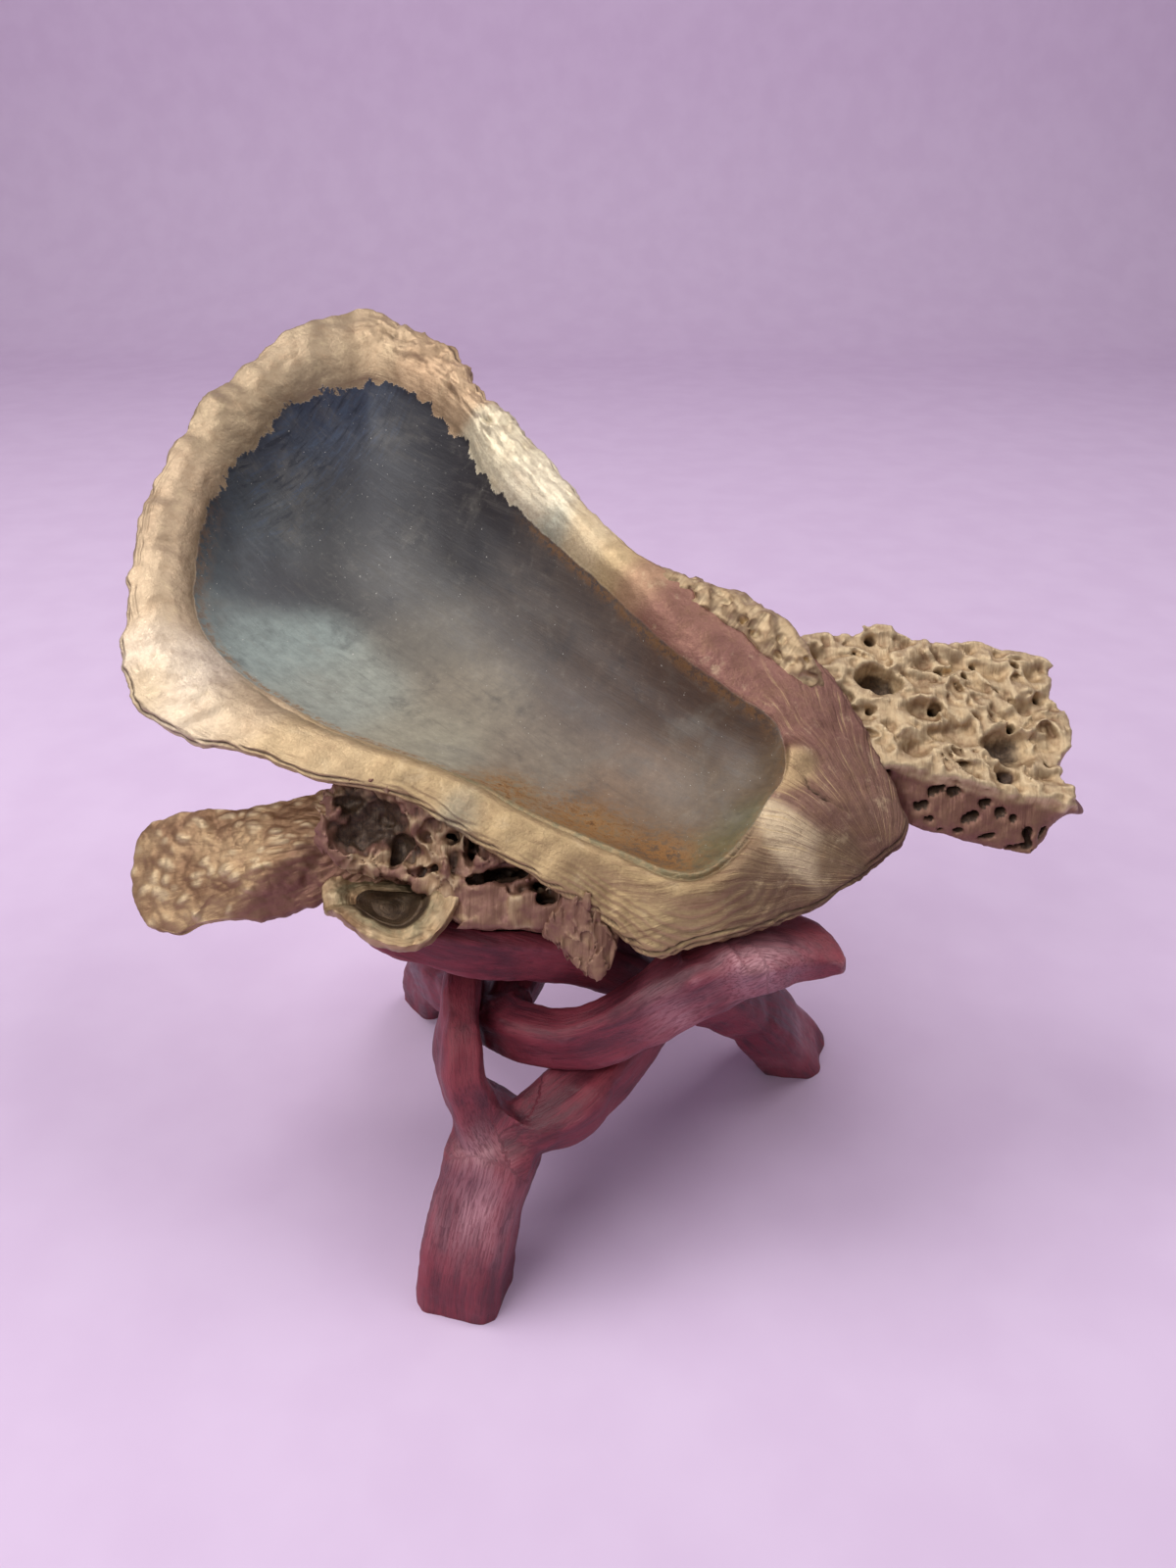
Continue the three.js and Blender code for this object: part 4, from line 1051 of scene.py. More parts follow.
class ValveForm:
    """The big valve in its own plane: rings from the middle of the hollow over the lip and the rim to the
    underside, with each point's distance from the paint edge, and the part of the valve that it is on."""

    def __init__(self):
        stations = np.array(VALVE_STATIONS, float)
        levels = np.full(len(stations), PAINT_LEVEL)
        self.paint = closed_curve(np.column_stack([stations[:, :2], levels]), AROUND)
        self.rim = closed_curve(stations[:, 2:5], AROUND)
        self.thick = mix(RIM_THICKNESS, RIM_THICKNESS_HINGE, smooth(45 - self.rim[:, 0], 0, 40))
        out = self.rim[:, :2] - self.paint[:, :2]
        self.out = np.column_stack([out / np.linalg.norm(out, axis=1)[:, None], np.zeros(AROUND)])
        self.wide_end = smooth(self.rim[:, 0], 95, 130)
        self.near_side = smooth(-self.rim[:, 1], 15, 35)
        self.far_side = smooth(self.rim[:, 1], 8, 18)
        self.let_rim_wander()
        self.width = np.linalg.norm(self.rim[:, :2] - self.paint[:, :2], axis=1)
        rings = [*self.hollow_rings(), *self.lip_rings(), *self.edge_rings(), *self.outside_rings()]
        self.points = np.array([ring for ring, _, _ in rings])
        self.reach = np.array([reach for _, reach, _ in rings])
        part = np.array([part for _, _, part in rings])[:, None]
        self.in_hollow = part == "hollow"
        self.on_edge = part == "edge"
        self.on_lip = (part == "lip") | self.on_edge
        self.under = part == "outside"
        self.along, self.across = self.points[..., 0], self.points[..., 1]
        self.share = np.clip(self.reach / self.width, 0, 1)
        self.flow = np.stack([self.reach, self.along, self.across], -1)
        self.flat = self.points * (1, 1, 0.3)
        self.hinge = smooth(42 - self.along, 0, 22)

    def let_rim_wander(self):
        """In and out, with points and bites, and up and down."""
        rim = self.rim
        bites = 1.8 * (0.35 - np.abs(noise(rim, 10.5, 11)))
        bites = bites + 0.8 * noise(rim, 5, 14) + 0.3 * noise(rim, 2.2, 13)
        drawn_in = mix(0.4, 2.0, smooth(rim[:, 0], 122, 142))
        rim = rim + self.out * (bites * mix(0.45, 1.0, self.wide_end) - drawn_in)[:, None]
        rim[:, 2] += fractal(rim, 13, 3, 12) * mix(0.4, 1.1, self.wide_end)
        self.rim = rim

    def hollow_rings(self):
        middle = np.array([*VALVE_MIDDLE, 0.0])
        outline = self.paint[::4, :2]
        soft_level, corner = hollow_level_map(outline)
        for s in np.linspace(0.012, 1, 36)[:-1]:
            p = mix(middle, self.paint, s)
            height, to_edge, steep = hollow_level(p, outline)
            soft = map_value(soft_level, corner, 1.0, p[:, 0], p[:, 1])
            p[:, 2] = mix(soft, height, smooth(steep, 0.55, 0.92))
            yield p, -to_edge, "hollow"

    def lip_rings(self):
        for s in np.linspace(0, 1, 50):
            p = mix(self.paint, self.rim, s)
            t = s ** LIP_CURVE
            p[:, 2] = mix(self.paint[:, 2], self.rim[:, 2], t) + LIP_CREST * np.sin(np.pi * t)
            yield p, s * self.width, "lip"

    def edge_rings(self):
        for s in np.linspace(0, 1, 14)[1:-1]:
            p = self.rim + self.out * (0.35 * self.thick * np.sin(np.pi * s))[:, None]
            p[:, 2] -= self.thick * s
            yield p, self.width + self.thick * s, "edge"

    def outside_rings(self):
        core = core_of(self.paint)
        to_core = np.linalg.norm(self.rim[:, :2] - core, axis=1)
        for s in np.linspace(0, 0.97, 56):
            p = mix(self.rim, np.column_stack([core, self.rim[:, 2]]), s)
            p[:, 2] = mix(self.rim[:, 2] - self.thick, UNDERSIDE, 1 - (1 - s) ** UNDERSIDE_CURVE)
            yield p, self.width + self.thick + s * to_core, "outside"


def wide_lip_relief(v):
    """Lip of the wide end: soft folds that run outwards, and dimples."""
    turn = np.unwrap(np.arctan2(v.rim[:, 1] - VALVE_MIDDLE[1], v.rim[:, 0] - VALVE_MIDDLE[0])) * 70
    none = np.zeros_like(v.reach)
    bearing = np.stack([turn + none, v.reach * 0.22, none], -1)
    folds = (fractal(bearing, 9, 2, 21) * 0.8 + noise(bearing, 3.4, 29) * 0.22) * smooth(v.share, 0.12, 0.7)
    return folds * mix(0.25, 1.0, v.wide_end) + fractal(v.points, 7, 3, 27) * 0.3


def rocky_lip_relief(v):
    """Far lip: a rough band outside a crease, with crags and small ridges, and how rocky each place is."""
    rocky = smooth(v.across, 12, 24) * smooth(v.along, 78, 96) * (1 - smooth(v.along, 158, 172))
    band_from = 0.42 + 0.14 * noise(v.flat, 14, 28) + 0.06 * noise(v.flat, 4, 41)
    band = rocky * smooth(v.share, band_from, band_from + 0.16)
    warp = wander(v.points, 6, 42) * 2.5
    crags = 1.7 * (0.42 - np.abs(noise(v.points * (0.7, 1, 1) + warp, 6.5, 25)))
    crags += 0.8 * (0.3 - np.abs(noise(v.points + warp, 2.4, 45)))
    crags = crags * band * mix(0.6, 1.35, smooth(v.along, 105, 125))
    ridges = noise(v.flow * (1, 0.16, 0.16) / (1.7, 1, 1), 1, 35) * 0.3 * rocky
    ridges = ridges * (1 - smooth(v.along, 125, 145))
    ridges += noise(v.points + warp, 1.5, 46) * 0.42 * rocky * smooth(v.share, 0.25, 0.5)
    return crags + ridges, rocky


def leaf_relief(v):
    """Leaves of shell over each other at the near edge and round the hinge, and how leafy each place is."""
    layered = 0.5 * v.near_side * smooth(v.share, 0.78, 0.92) * smooth(v.rim[:, 0], 40, 60)
    layered = layered * smooth(noise(v.flat, 10, 47), -0.3, 0.15)
    round_hinge = 0.5 * v.hinge * smooth(v.share, 0.5, 0.65) * smooth(-v.across, 18, 28)
    near_hinge = 0.6 * v.near_side * smooth(50 - v.along, 0, 14) * smooth(v.share, 0.55, 0.7)
    layered = np.maximum(np.maximum(layered, round_hinge), near_hinge)
    leaf = (v.reach + 2.2 * noise(v.flat, 12, 36) + 0.5 * noise(v.flat, 3.5, 37)) / mix(1.25, 1.6, v.hinge)
    leaf = leaf - np.floor(leaf)
    return (smooth(leaf, 0, 0.8) - smooth(leaf, 0.86, 1.0) - 0.45) * 0.7 * layered, layered


def hinge_lines(v):
    """Lines that draw together at the pointed end: each point's place along and between them, how much of
    them shows there, and their relief."""
    off = v.points[..., :2] - HINGE_TIP
    from_tip = np.hypot(off[..., 1], off[..., 0])
    bearing = np.arctan2(off[..., 1], off[..., 0]) * 24 + 1.0 * noise(v.flat, 8, 48)
    combed = np.stack([bearing, from_tip, np.zeros_like(from_tip)], -1)
    drawn = smooth(48 - v.along, 0, 18)
    relief = noise(combed * (1.0, 0.08, 1), 0.9, 23) * 0.12 * drawn
    relief += noise(combed * (1.0, 0.2, 1), 2.6, 49) * 0.32 * drawn
    return combed, drawn, relief


def ridge_along(distance, centre, width):
    """1 along a line at a distance, fading over the width."""
    return np.exp(-((distance - centre) / width) ** 2)


def outside_relief(v):
    """Scaly growth ledges, and a rough skin on broad bulges: the low relief, then all of it."""
    step = ((v.reach + 4 * fractal(v.flat, 26, 3, 31)) / 5.5) % 1
    ledges = (smooth(step, 0.0, 0.82) - smooth(step, 0.9, 1.0)) * 1.25 - 0.5
    rough = fractal(v.points, 5, 4, 32) * 0.5
    bulge = fractal(v.flat, 22, 2, 33) * 1.2
    return rough + ledges, (ledges + rough + bulge) * smooth(v.reach - v.width - v.thick, 0, 6)


def big_valve(material):
    v = ValveForm()
    crags, rocky = rocky_lip_relief(v)
    leaves, layered = leaf_relief(v)
    combed, drawn, fine = hinge_lines(v)
    plain_side = v.near_side * (1 - v.wide_end)
    fine += noise(v.flow * (1.0, 0.06, 0.06) / (0.9, 1, 1), 1, 50) * 0.05 * plain_side
    # The near lip is a smooth rounded bead with a groove inside it
    groove = -0.9 * ridge_along(v.reach, 1.1, 0.6) * v.near_side * smooth(125 - v.along, 0, 20)
    bead = 0.9 * ridge_along(v.reach, 4.0, 2.2) * v.near_side * smooth(115 - v.along, 0, 25)
    # A crack and a ledge at the hinge
    crack_line = v.across + 1.5 + 2.5 * noise(v.flat, 6, 38)
    crack = -1.0 * ridge_along(crack_line, 0, 0.3) * spot(v.along, v.across, 17, -2, 5)
    ledge = 1.8 * spot(v.along, v.across, 25.5, 2, 3.6)
    rise = wide_lip_relief(v) + crags + leaves + fine + fractal(v.points, 3.0, 3, 24) * 0.12
    rise += groove + bead + crack + ledge
    rise = np.where(v.on_lip, rise * smooth(v.reach, -0.2, 0.8), 0)
    # The edge shows thin leaves with gaps between, which the painted shade below darkens
    gap = (v.points[..., 2] + 0.8 * noise(v.flat, 14, 26)) / 0.95
    gap = np.abs(gap - np.floor(gap) - 0.5)
    rise += np.where(v.on_edge, (gap - 0.3) * 1.3, 0)
    scales, outside = outside_relief(v)
    rise += np.where(v.under, outside, 0)
    # The hollow is nearly smooth
    rise += np.where(v.in_hollow, fractal(v.points, 16, 3, 34) * 0.3 * smooth(-v.reach, 0, 6), 0)
    shown = v.points + grid_normals(v.points) * rise[..., None]
    # Painted shade: darker in the leaves' gaps, the crack, between crags, in the groove, under the outside's
    # growth ledges and in the edge's gaps
    painted_shade = -(leaves * 1.3 + crack + np.minimum(crags, 0.1) * 0.7 + groove * 0.4)
    painted_shade = np.where(v.on_lip, np.clip(painted_shade, 0, 1), np.clip(-scales * 0.7, 0, 1) * v.under)
    painted_shade = np.where(v.on_edge, np.clip((0.3 - gap) * 3, 0, 0.9), painted_shade)
    tarnish = v.near_side * smooth(95 - v.along, 0, 30) * ridge_along(v.reach, 0.4, 0.8)
    corner = 0.8 * spot(v.along, v.across, 27, -22, 9) * ridge_along(v.reach, -0.6, 0.8)
    # Rust just inside the paint edge, and in patches along the lower side
    edge_rust = np.maximum(np.maximum(v.near_side, v.hinge), 0.6 * v.far_side * smooth(110 - v.along, 0, 15))
    rust = 0.9 * ridge_along(v.reach, -0.7, 0.7) * edge_rust
    rust += sum(spot(v.along, v.across, *patch) for patch in RUST_PATCHES)
    brushed = smooth(v.along, 138, 158) * smooth(v.across, -30, -8) * smooth(-v.reach, -3, 1)
    attributes = {
        "flow": with_middles(v.flow),
        "hollow_tone_and_sheen": with_middles(tone_at(HOLLOW_TONES_AND_SHEEN, v.along, v.across)),
        "gilt_and_highlight": with_middles(tone_at(LIP_TONES_AND_HIGHLIGHT, v.along, v.across)),
        "hollow": flat_list(painted_shade),
        "lined": flat_list(np.clip(0.22 * plain_side + 0.3 * rocky + 0.4 * layered, 0, 1)),
        "combed": with_middles(combed),
        "drawn": flat_list(drawn),
        "tarnish": flat_list(np.clip(np.maximum(tarnish, corner), 0, 1)),
        "brushed": flat_list(brushed * np.exp(-np.maximum(-v.reach - 12, 0) / 10)),
        "rust": flat_list(np.clip(rust, 0, 1)),
        "ragged": flat_list(mix(1.0, 9.0, v.wide_end * smooth(v.across, -34, -12))),
    }
    shown = placed(with_middles(shown), valve_frame())
    return make_mesh("big_valve", shown, ring_faces(len(v.points), AROUND), material, attributes)


def grid_of(low, high, step):
    """The points of a grid in a box."""
    sizes = [int(math.ceil((h - l) / step)) + 1 for l, h in zip(low, high)]
    axes = [l + step * np.arange(n) for l, n in zip(low, sizes)]
    return np.stack(np.meshgrid(*axes, indexing="ij"), -1)


def crust(material):
    low, high = np.array([28.0, 11, -13]), np.array([77.0, 30, 4])
    step = 0.34
    melt = 1.6  # how far two lumps run into each other
    p = grid_of(low, high, step)
    d = np.full(p.shape[:-1], 9.0)
    for a, b, c, size in CRUST:
        ball = np.linalg.norm((p - (a, b, c)) / (1.1, 1, 0.85), axis=-1) - size
        h = np.clip(0.5 + 0.5 * (d - ball) / melt, 0, 1)
        d = mix(d, ball, h) - melt * h * (1 - h)
    near = np.abs(d) < 3
    q = p[near]
    warp = wander(q, 4, 51)
    lump, _, _ = cells(q + 1.2 * warp, 4.0, 54)
    folded = 1 - np.abs(noise(q + warp, 3.2, 57)) * 2
    d[near] += 1.6 * smooth(0.36 - lump, 0, 0.3) - 0.5 * folded - 0.9 * fractal(q, 6, 4, 56) + 0.2
    points, quads = largest_surface(d, low, step)
    shown, depth = shown_surface(points, quads, valve_frame(), 5)
    # Painted shade in the crust's hollows, and a painted highlight on its tops
    return make_mesh("edge_crust", shown, quads.tolist(), material, {
        "flow": points, "hollow": np.clip(depth * 3, 0, 1), "crest_highlight": np.clip(0.55 - depth * 3, 0, 1),
        "rose": np.zeros(len(points))})


def sampled(field, origin, step, points):
    """A grid's values at the nearest grid points."""
    i = np.clip(np.rint((points - origin) / step).astype(int), 0, np.array(field.shape) - 1)
    return field[tuple(i.T)]


# Slabs from an outline, a face and a back, as fields
def outline_distance(outline, p, q, count=240):
    """Signed distance in the plane from a closed outline, negative inside. The count of points on a curve
    through it rounds it off; None takes it as it is."""
    edge = closed_curve(outline, count) if count else np.asarray(outline, float)
    after = np.roll(edge, -1, axis=0)
    here = np.stack([p, q], -1)[..., None, :]
    way = after - edge
    t = np.clip(np.sum((here - edge) * way, -1) / np.sum(way * way, -1), 0, 1)
    far = np.linalg.norm(here - edge - t[..., None] * way, axis=-1).min(-1)
    crossing = (edge[:, 1] > here[..., 1]) != (after[:, 1] > here[..., 1])
    side = edge[:, 0] + (here[..., 1] - edge[:, 1]) / np.where(way[:, 1] == 0, 1e-9, way[:, 1]) * way[:, 0]
    inside = (np.sum(crossing & (here[..., 0] < side), -1) % 2) == 1
    return np.where(inside, -far, far)


def round_max(a, b, r):
    """The larger of two fields, with the edge where they meet rounded off."""
    u = np.maximum(r + a, 0)
    v = np.maximum(r + b, 0)
    return np.minimum(-r, np.maximum(a, b)) + np.sqrt(u * u + v * v)


def carve(field, p, centre, reach, hole, r):
    """Takes a hole out of a field on the grid p near its centre, with the mouth rounded by r."""
    low = np.array(centre, float) - reach
    high = np.array(centre, float) + reach
    origin = p[0, 0, 0]
    step = p[1, 0, 0, 0] - origin[0]
    first = np.clip(np.floor((low - origin) / step).astype(int), 0, field.shape)
    last = np.clip(np.ceil((high - origin) / step).astype(int), 0, field.shape)
    box = tuple(slice(int(i), int(j)) for i, j in zip(first, last))
    taken = -hole(p[box])
    h = np.clip(0.5 + 0.5 * (field[box] - taken) / r, 0, 1)
    field[box] = mix(taken, field[box], h) + r * h * (1 - h)


def ball_field(q, centre, radii, size):
    """About the distance from a flattened ball of some size, negative inside."""
    return (np.linalg.norm((q - centre) / radii, axis=-1) - 1) * size * 0.9


def bored_shell(material):
    low, high = np.array([-23.0, -18, -14]), np.array([50.0, 42, 4.5])
    step = 0.42
    p = grid_of(low, high, step)
    x, y, z = p[..., 0], p[..., 1], p[..., 2]
    # The front face leans out towards the bottom, and the right end leans to the right
    down = smooth(-z, 1.0, BORED_THICKNESS - 1)
    front = smooth(10 - y, 0, 10)
    right = smooth(x, 31, 41)
    middle = smooth(x, 1, 9) * (1 - right)
    rightward, forward = BORED_LEAN_RIGHT
    px = x - down * front * right * rightward
    py = y - down * front * (middle * BORED_LEAN_FRONT + right * forward)
    map_step = 0.6
    margin = 12
    us = np.arange(low[0] - margin, high[0] + margin, map_step)
    vs = np.arange(low[1] - margin, high[1] + margin, map_step)
    table = outline_distance(BORED_OUTLINE, *np.meshgrid(us, vs, indexing="ij"))
    side = map_value(table, (us[0], vs[0]), map_step, px, py)
    level = p[:, :, 0] * (1, 1, 0)
    bottom = -BORED_THICKNESS + 3 * smooth(x, 34, 43) + 0.8 * noise(level, 14, 61)[:, :, None]
    top = 1.0 * noise(level, 11, 62)[:, :, None]
    slab = round_max(side, np.maximum(z - top, bottom - z), 0.9)
    d = slab.copy()
    near = np.abs(d) < 5
    q = p[near]
    warp = wander(q, 9, 63, 2)
    facing_up = smooth(q[:, 2], -4.5, -1.5)
    # Swirling ridges with rounded hollows between them
    swirl = np.abs(noise(q * (1, 1, 0.6) + 4.5 * warp, 6.5, 66))
    small = np.abs(noise(q + 2.0 * warp, 2.8, 67))
    relief = 2.1 * smooth(swirl, 0.0, 0.5) + 0.8 * smooth(small, 0.0, 0.4) - 0.8 - 0.6 * fractal(q, 4, 4, 68)
    relief = relief * mix(0.45, 1.0, smooth(-side[near], 0.5, 3.5))
    shell_edge = 0.4 * noise(q, 3.5, 75) + 0.15 * noise(q, 1.2, 76)
    d[near] += mix(shell_edge, relief, facing_up) + 0.14 * fractal(q, 1.5, 2, 69)
    for a, b, r, depth in PITS:
        def pit(q):
            ball = ball_field(q, (a, b, 0.6), (r, r * 0.8, depth), min(r, depth))
            return ball + 0.8 * noise(q, 4.5, 71) + 0.25 * noise(q, 1.8, 72)
        carve(d, p, (a, b, 0.4), (r + 3, r + 3, depth + 3), pit, 0.8)
    for a, b, r in BORINGS:
        def tube(q):
            sway = 0.8 * noise(q * (0, 0, 1) + (a, b, 0), 4, 72)
            round_hole = np.hypot(q[..., 0] - a - sway, q[..., 1] - b + sway)
            return np.maximum(round_hole - r * (1 + 0.4 * noise(q, 2.5, 73)), -q[..., 2] - 7)
        carve(d, p, (a, b, -2), (4, 4, 8), tube, 0.4)
    for a, drop_to, r, drawn in FRONT_HOLES:
        def slot(q):
            off = q[..., 0] - a
            sideways = np.clip(off, -drawn, drawn)
            ragged = 0.88 * r * (1 + 0.35 * noise(q, 2.2, 74))
            round_hole = np.hypot(off - sideways, q[..., 2] - drop_to - 0.35 * sideways)
            return np.maximum(round_hole - ragged, q[..., 1] - 5)
        carve(d, p, (a, -5, drop_to), (drawn + 3, 14, 3), slot, 0.25)
    points, quads = largest_surface(d, low, step)
    points = relaxed(points, quads, 4, 0.6)
    points = points + net_normals(points, quads) * (0.14 * fractal(points, 1.6, 3, 77))[:, None]
    sunk = -sampled(slab, low, step, points)
    shown, depth = shown_surface(points, quads, plane_frame(BORED_ORIGIN, BORED_NORMAL), 5)
    facing = smooth(-points[:, 2], 1.6, 3.2)
    # Painted shade: darker in the pits and deep places, and in the holes of the front face
    hole = 0.7 * smooth(sunk, 2.0, 4.5) + smooth(sunk, 0.6, 1.2) * facing * (points[:, 1] < 6)
    painted_shade = np.clip(depth * 1.7 + hole, 0, 1)
    rose = facing * smooth(6 - points[:, 1], 0, 3)
    # Painted highlight on the tops, off the rosy front face
    crest_highlight = np.clip(0.45 - depth * 3, 0, 0.9) * (1 - rose)
    return make_mesh("bored_chunk", shown, quads.tolist(), material, {
        "flow": points, "hollow": painted_shade, "crest_highlight": crest_highlight, "rose": rose})


def broken_shell(material):
    low, high = np.array([-26.0, -20, -21]), np.array([30.0, 20, 5])
    step = 0.38
    p = grid_of(low, high, step)
    x, y, z = p[..., 0], p[..., 1], p[..., 2]
    side = outline_distance(BROKEN_OUTLINE, x[:, :, 0], y[:, :, 0], 120)[:, :, None]
    # The right half is a shelf that comes forward and the left half is a wall that leans back at its foot
    shelf = smooth(x[:, :, 0], 1, 7) * smooth(-4.5 - y[:, :, 0], -1, 2.5)
    wall = smooth(-y[:, :, 0], -12, 2) * smooth(3 - x[:, :, 0], 0, 5)
    top = (0.8 + 0.6 * shelf - 2.6 * wall)[:, :, None]
    slab = round_max(side, np.maximum(z - top, -BROKEN_DEPTH - z), 1.2)
    d = slab.copy()
    near = np.abs(d) < 5
    q = p[near]
    warp = wander(q, 8, 81, 2)
    strands = np.abs(noise(q * (1, 0.35, 1) + 2.2 * warp, 2.9, 84))
    chunks = np.abs(noise(q * (1, 0.7, 1) + 3.0 * warp, 7.5, 88))
    flat = smooth(q[:, 0], 4, 10) * smooth(-q[:, 1], 4, 7)
    first, second, number = cells(q * (1, 0.8, 1) + 1.5 * warp, 3.6, 90)
    flakes = (three(number)[:, 0] - 0.5) * 1.3 + 0.4 * smooth(0.1 - (second - first), 0, 0.1)
    relief = 2.2 * smooth(chunks, 0.02, 0.5) + 0.8 * smooth(strands, 0.0, 0.3) - 0.6
    relief = relief - 0.35 * fractal(q, 3, 4, 86) + flakes
    calm = 0.7 * smooth(chunks, 0.02, 0.5) - 0.35 * fractal(q, 4, 4, 89) + 0.3 * flakes
    d[near] += mix(relief, calm, flat)
    for a, b, ra, rb, depth in BROKEN_GAPS:
        def gap(q):
            ball = ball_field(q, (a, b, 0), (ra, rb, depth), min(ra, rb))
            return ball + 1.5 * noise(q, 4.2, 87) + 0.9 * noise(q, 1.7, 94)
        carve(d, p, (a, b, -1), (ra + 5, rb + 5, depth + 4), gap, 0.3)
    points, quads = largest_surface(d, low, step)
    points = relaxed(points, quads, 2, 0.5)
    sunk = -sampled(slab, low, step, points)
    shown, depth = shown_surface(points, quads, plane_frame(BROKEN_ORIGIN, BROKEN_NORMAL), 4)
    # Painted shade: darker in pits, in the gaps and over the upper left; a painted highlight on tops of the
    # paler patches
    shade = 0.35 * spot(points[:, 0], points[:, 1], -14, 8, 9)
    painted_shade = np.clip(depth * 3.0 + smooth(sunk + 1.5 * noise(shown, 5, 95), 1.4, 5.0) + shade, 0, 1)
    patchy = smooth(noise(shown, 5, 85) + 0.4 * noise(shown, 2, 96), -0.05, 0.3)
    green = spot(points[:, 0], points[:, 1], 5, 8, 5) * smooth(sunk, 2.5, 0.5)
    return make_mesh("broken_old_shell", shown, quads.tolist(), material, {
        "flow": points, "hollow": painted_shade, "crest_highlight": np.clip(0.1 - depth * 5, 0, 1) * patchy,
        "rose": 1 - 0.8 * patchy, "green": green})


def pointed_shell(material):
    low, high = np.array([-10.0, -11, -7]), np.array([9.0, 17, 4])
    step = 0.22
    p = grid_of(low, high, step)
    x, y, z = p[..., 0], p[..., 1], p[..., 2]
    side = outline_distance(POINTED_OUTLINE, x[:, :, 0], y[:, :, 0], 80)[:, :, None]
    face = 1.6 - 0.16 * np.abs(x - 0.8 + 0.12 * y) ** 1.4
    d = round_max(side, np.maximum(z - face, -3.6 - z), 0.6)
    strands = np.abs(noise(p * (1.0, 0.16, 1.0) + 1.2 * noise(p, 5, 93)[..., None], 1.9, 91))
    _, _, number = cells(p * (1, 0.45, 1), 2.6, 97)
    flakes = 0.9 * (three(number)[..., 0] - 0.5)
    d = d + 0.7 * smooth(strands, 0, 0.35) - 0.3 - 0.3 * fractal(p, 3, 4, 92) + flakes
    points, quads = largest_surface(d, low, step)
    shown, depth = shown_surface(points, quads, plane_frame(POINTED_ORIGIN, POINTED_NORMAL), 5)
    # Painted shade, darker in its pits and towards its upper end, and a painted highlight on its ridges
    return make_mesh("pointed_chip", shown, quads.tolist(), material, {
        "flow": points, "hollow": np.clip(depth * 3 + 0.7 * smooth(points[:, 1], 4.5, 8), 0, 1),
        "crest_highlight": np.clip(-depth * 4, 0, 0.8) * smooth(noise(points, 3, 98), -0.1, 0.3),
        "rose": mix(0.9, 0.5, smooth(noise(points, 4, 99), -0.1, 0.3))})


def plate(outline, count, rings, face, back):
    """Rings over the face of an outlined plate and back under it, in the plate's own plane."""
    outline = np.array(outline, float)
    after = np.roll(outline, -1, axis=0)
    if np.sum(outline[:, 0] * after[:, 1] - outline[:, 1] * after[:, 0]) > 0:
        outline = outline[::-1]
    edge = closed_curve(outline, count)
    centre = outline.mean(0)
    points = []
    share = []
    for s in np.linspace(0.02, 1, rings):
        flat = mix(centre, edge, s)
        points.append(np.column_stack([flat, face(flat, s)]))
        share.append(np.full(count, s))
    for t in np.linspace(0, 1, 8)[1:-1]:
        flat = mix(centre, edge, 1 + 0.012 * np.sin(np.pi * t))
        points.append(np.column_stack([flat, mix(face(flat, 1.0), back(flat, 1.0), t)]))
        share.append(np.full(count, 1.0))
    for s in np.linspace(1, 0.02, rings):
        flat = mix(centre, edge, s)
        points.append(np.column_stack([flat, back(flat, s)]))
        share.append(np.full(count, s))
    return np.array(points), np.array(share)


def past_fold(p):
    """How far each point of the fan lies past the fold where its leaf turns down."""
    return 0.75 * (p[..., 1] - FAN_FOLD[1]) - 0.62 * (p[..., 0] - FAN_FOLD[0])


def fan_shell(material):
    def face(p, s):
        fold = smooth(past_fold(p), 1.0, 8.0) * smooth(16 - p[:, 0], 0, 8)
        return 1.5 - 2.6 * s * s - 0.0012 * p[:, 0] ** 2 - 3.2 * fold

    def back(p, s):
        return face(p, s) - mix(FAN_THICKNESS_MIDDLE, FAN_THICKNESS_EDGE, s)

    points, share = plate(FAN_OUTLINE, FAN_AROUND, FAN_RINGS, face, back)
    ray = points[..., :2] - FAN_PIVOT
    out = np.linalg.norm(ray, axis=-1)
    bend = np.arctan2(ray[..., 1], ray[..., 0]) * 30
    none = np.zeros_like(out)
    lean = np.stack([bend + 1.2 * noise(points, 9, 105), out * 0.3, none], -1)
    warp = wander(points, 4, 108) * 1.2
    ribs = noise(lean, 1.7, 101) * 0.25 + noise(lean, 4.2, 106) * 0.35
    spots, _, _ = cells(np.stack([bend * 1.25, out * 0.62, none], -1) + warp, 2.3, 107)
    net = 0.8 * (0.42 - spots)
    rough = fractal(points, 2.6, 3, 103) * 0.25
    waves = noise(points * (1, 1, 0), 13, 104) * 1.2
    normals = grid_normals(points)
    relief = ribs + net + rough
    points = points + normals * ((relief + waves) * smooth(share, 0.02, 0.2))[..., None]
    mirrored = points * (-1, -1, 1)
    shown = placed(with_middles(mirrored), plane_frame(FAN_ORIGIN, FAN_NORMAL))
    flow = np.stack([bend, points[..., 0], points[..., 1]], -1)
    rosy = smooth(past_fold(points), 0.0, 4.0) * smooth(18 - points[..., 0], 0, 8)
    attributes = {
        "flow": with_middles(flow),
        # Painted shade between the ribs and the net's spots, and a painted highlight on the raised spots
        "hollow": flat_list(np.clip(-(ribs + net) * 0.35, 0, 1)),
        "crest_highlight": flat_list(smooth(0.5 - spots, 0.0, 0.3) * 0.75 * (1 - rosy)),
        "rose": flat_list(np.clip(0.2 - 0.3 * (ribs + net) + 0.6 * rosy, 0, 1)),
    }
    return make_mesh("fan_valve", shown, ring_faces(len(points), FAN_AROUND), material, attributes)


def far_half(p):
    """0 in the near half of the small bowl and 1 in the far one, which the broken shell covers."""
    return smooth(p[:, 1] - 0.25 * p[:, 0], -3.5, 3.5)


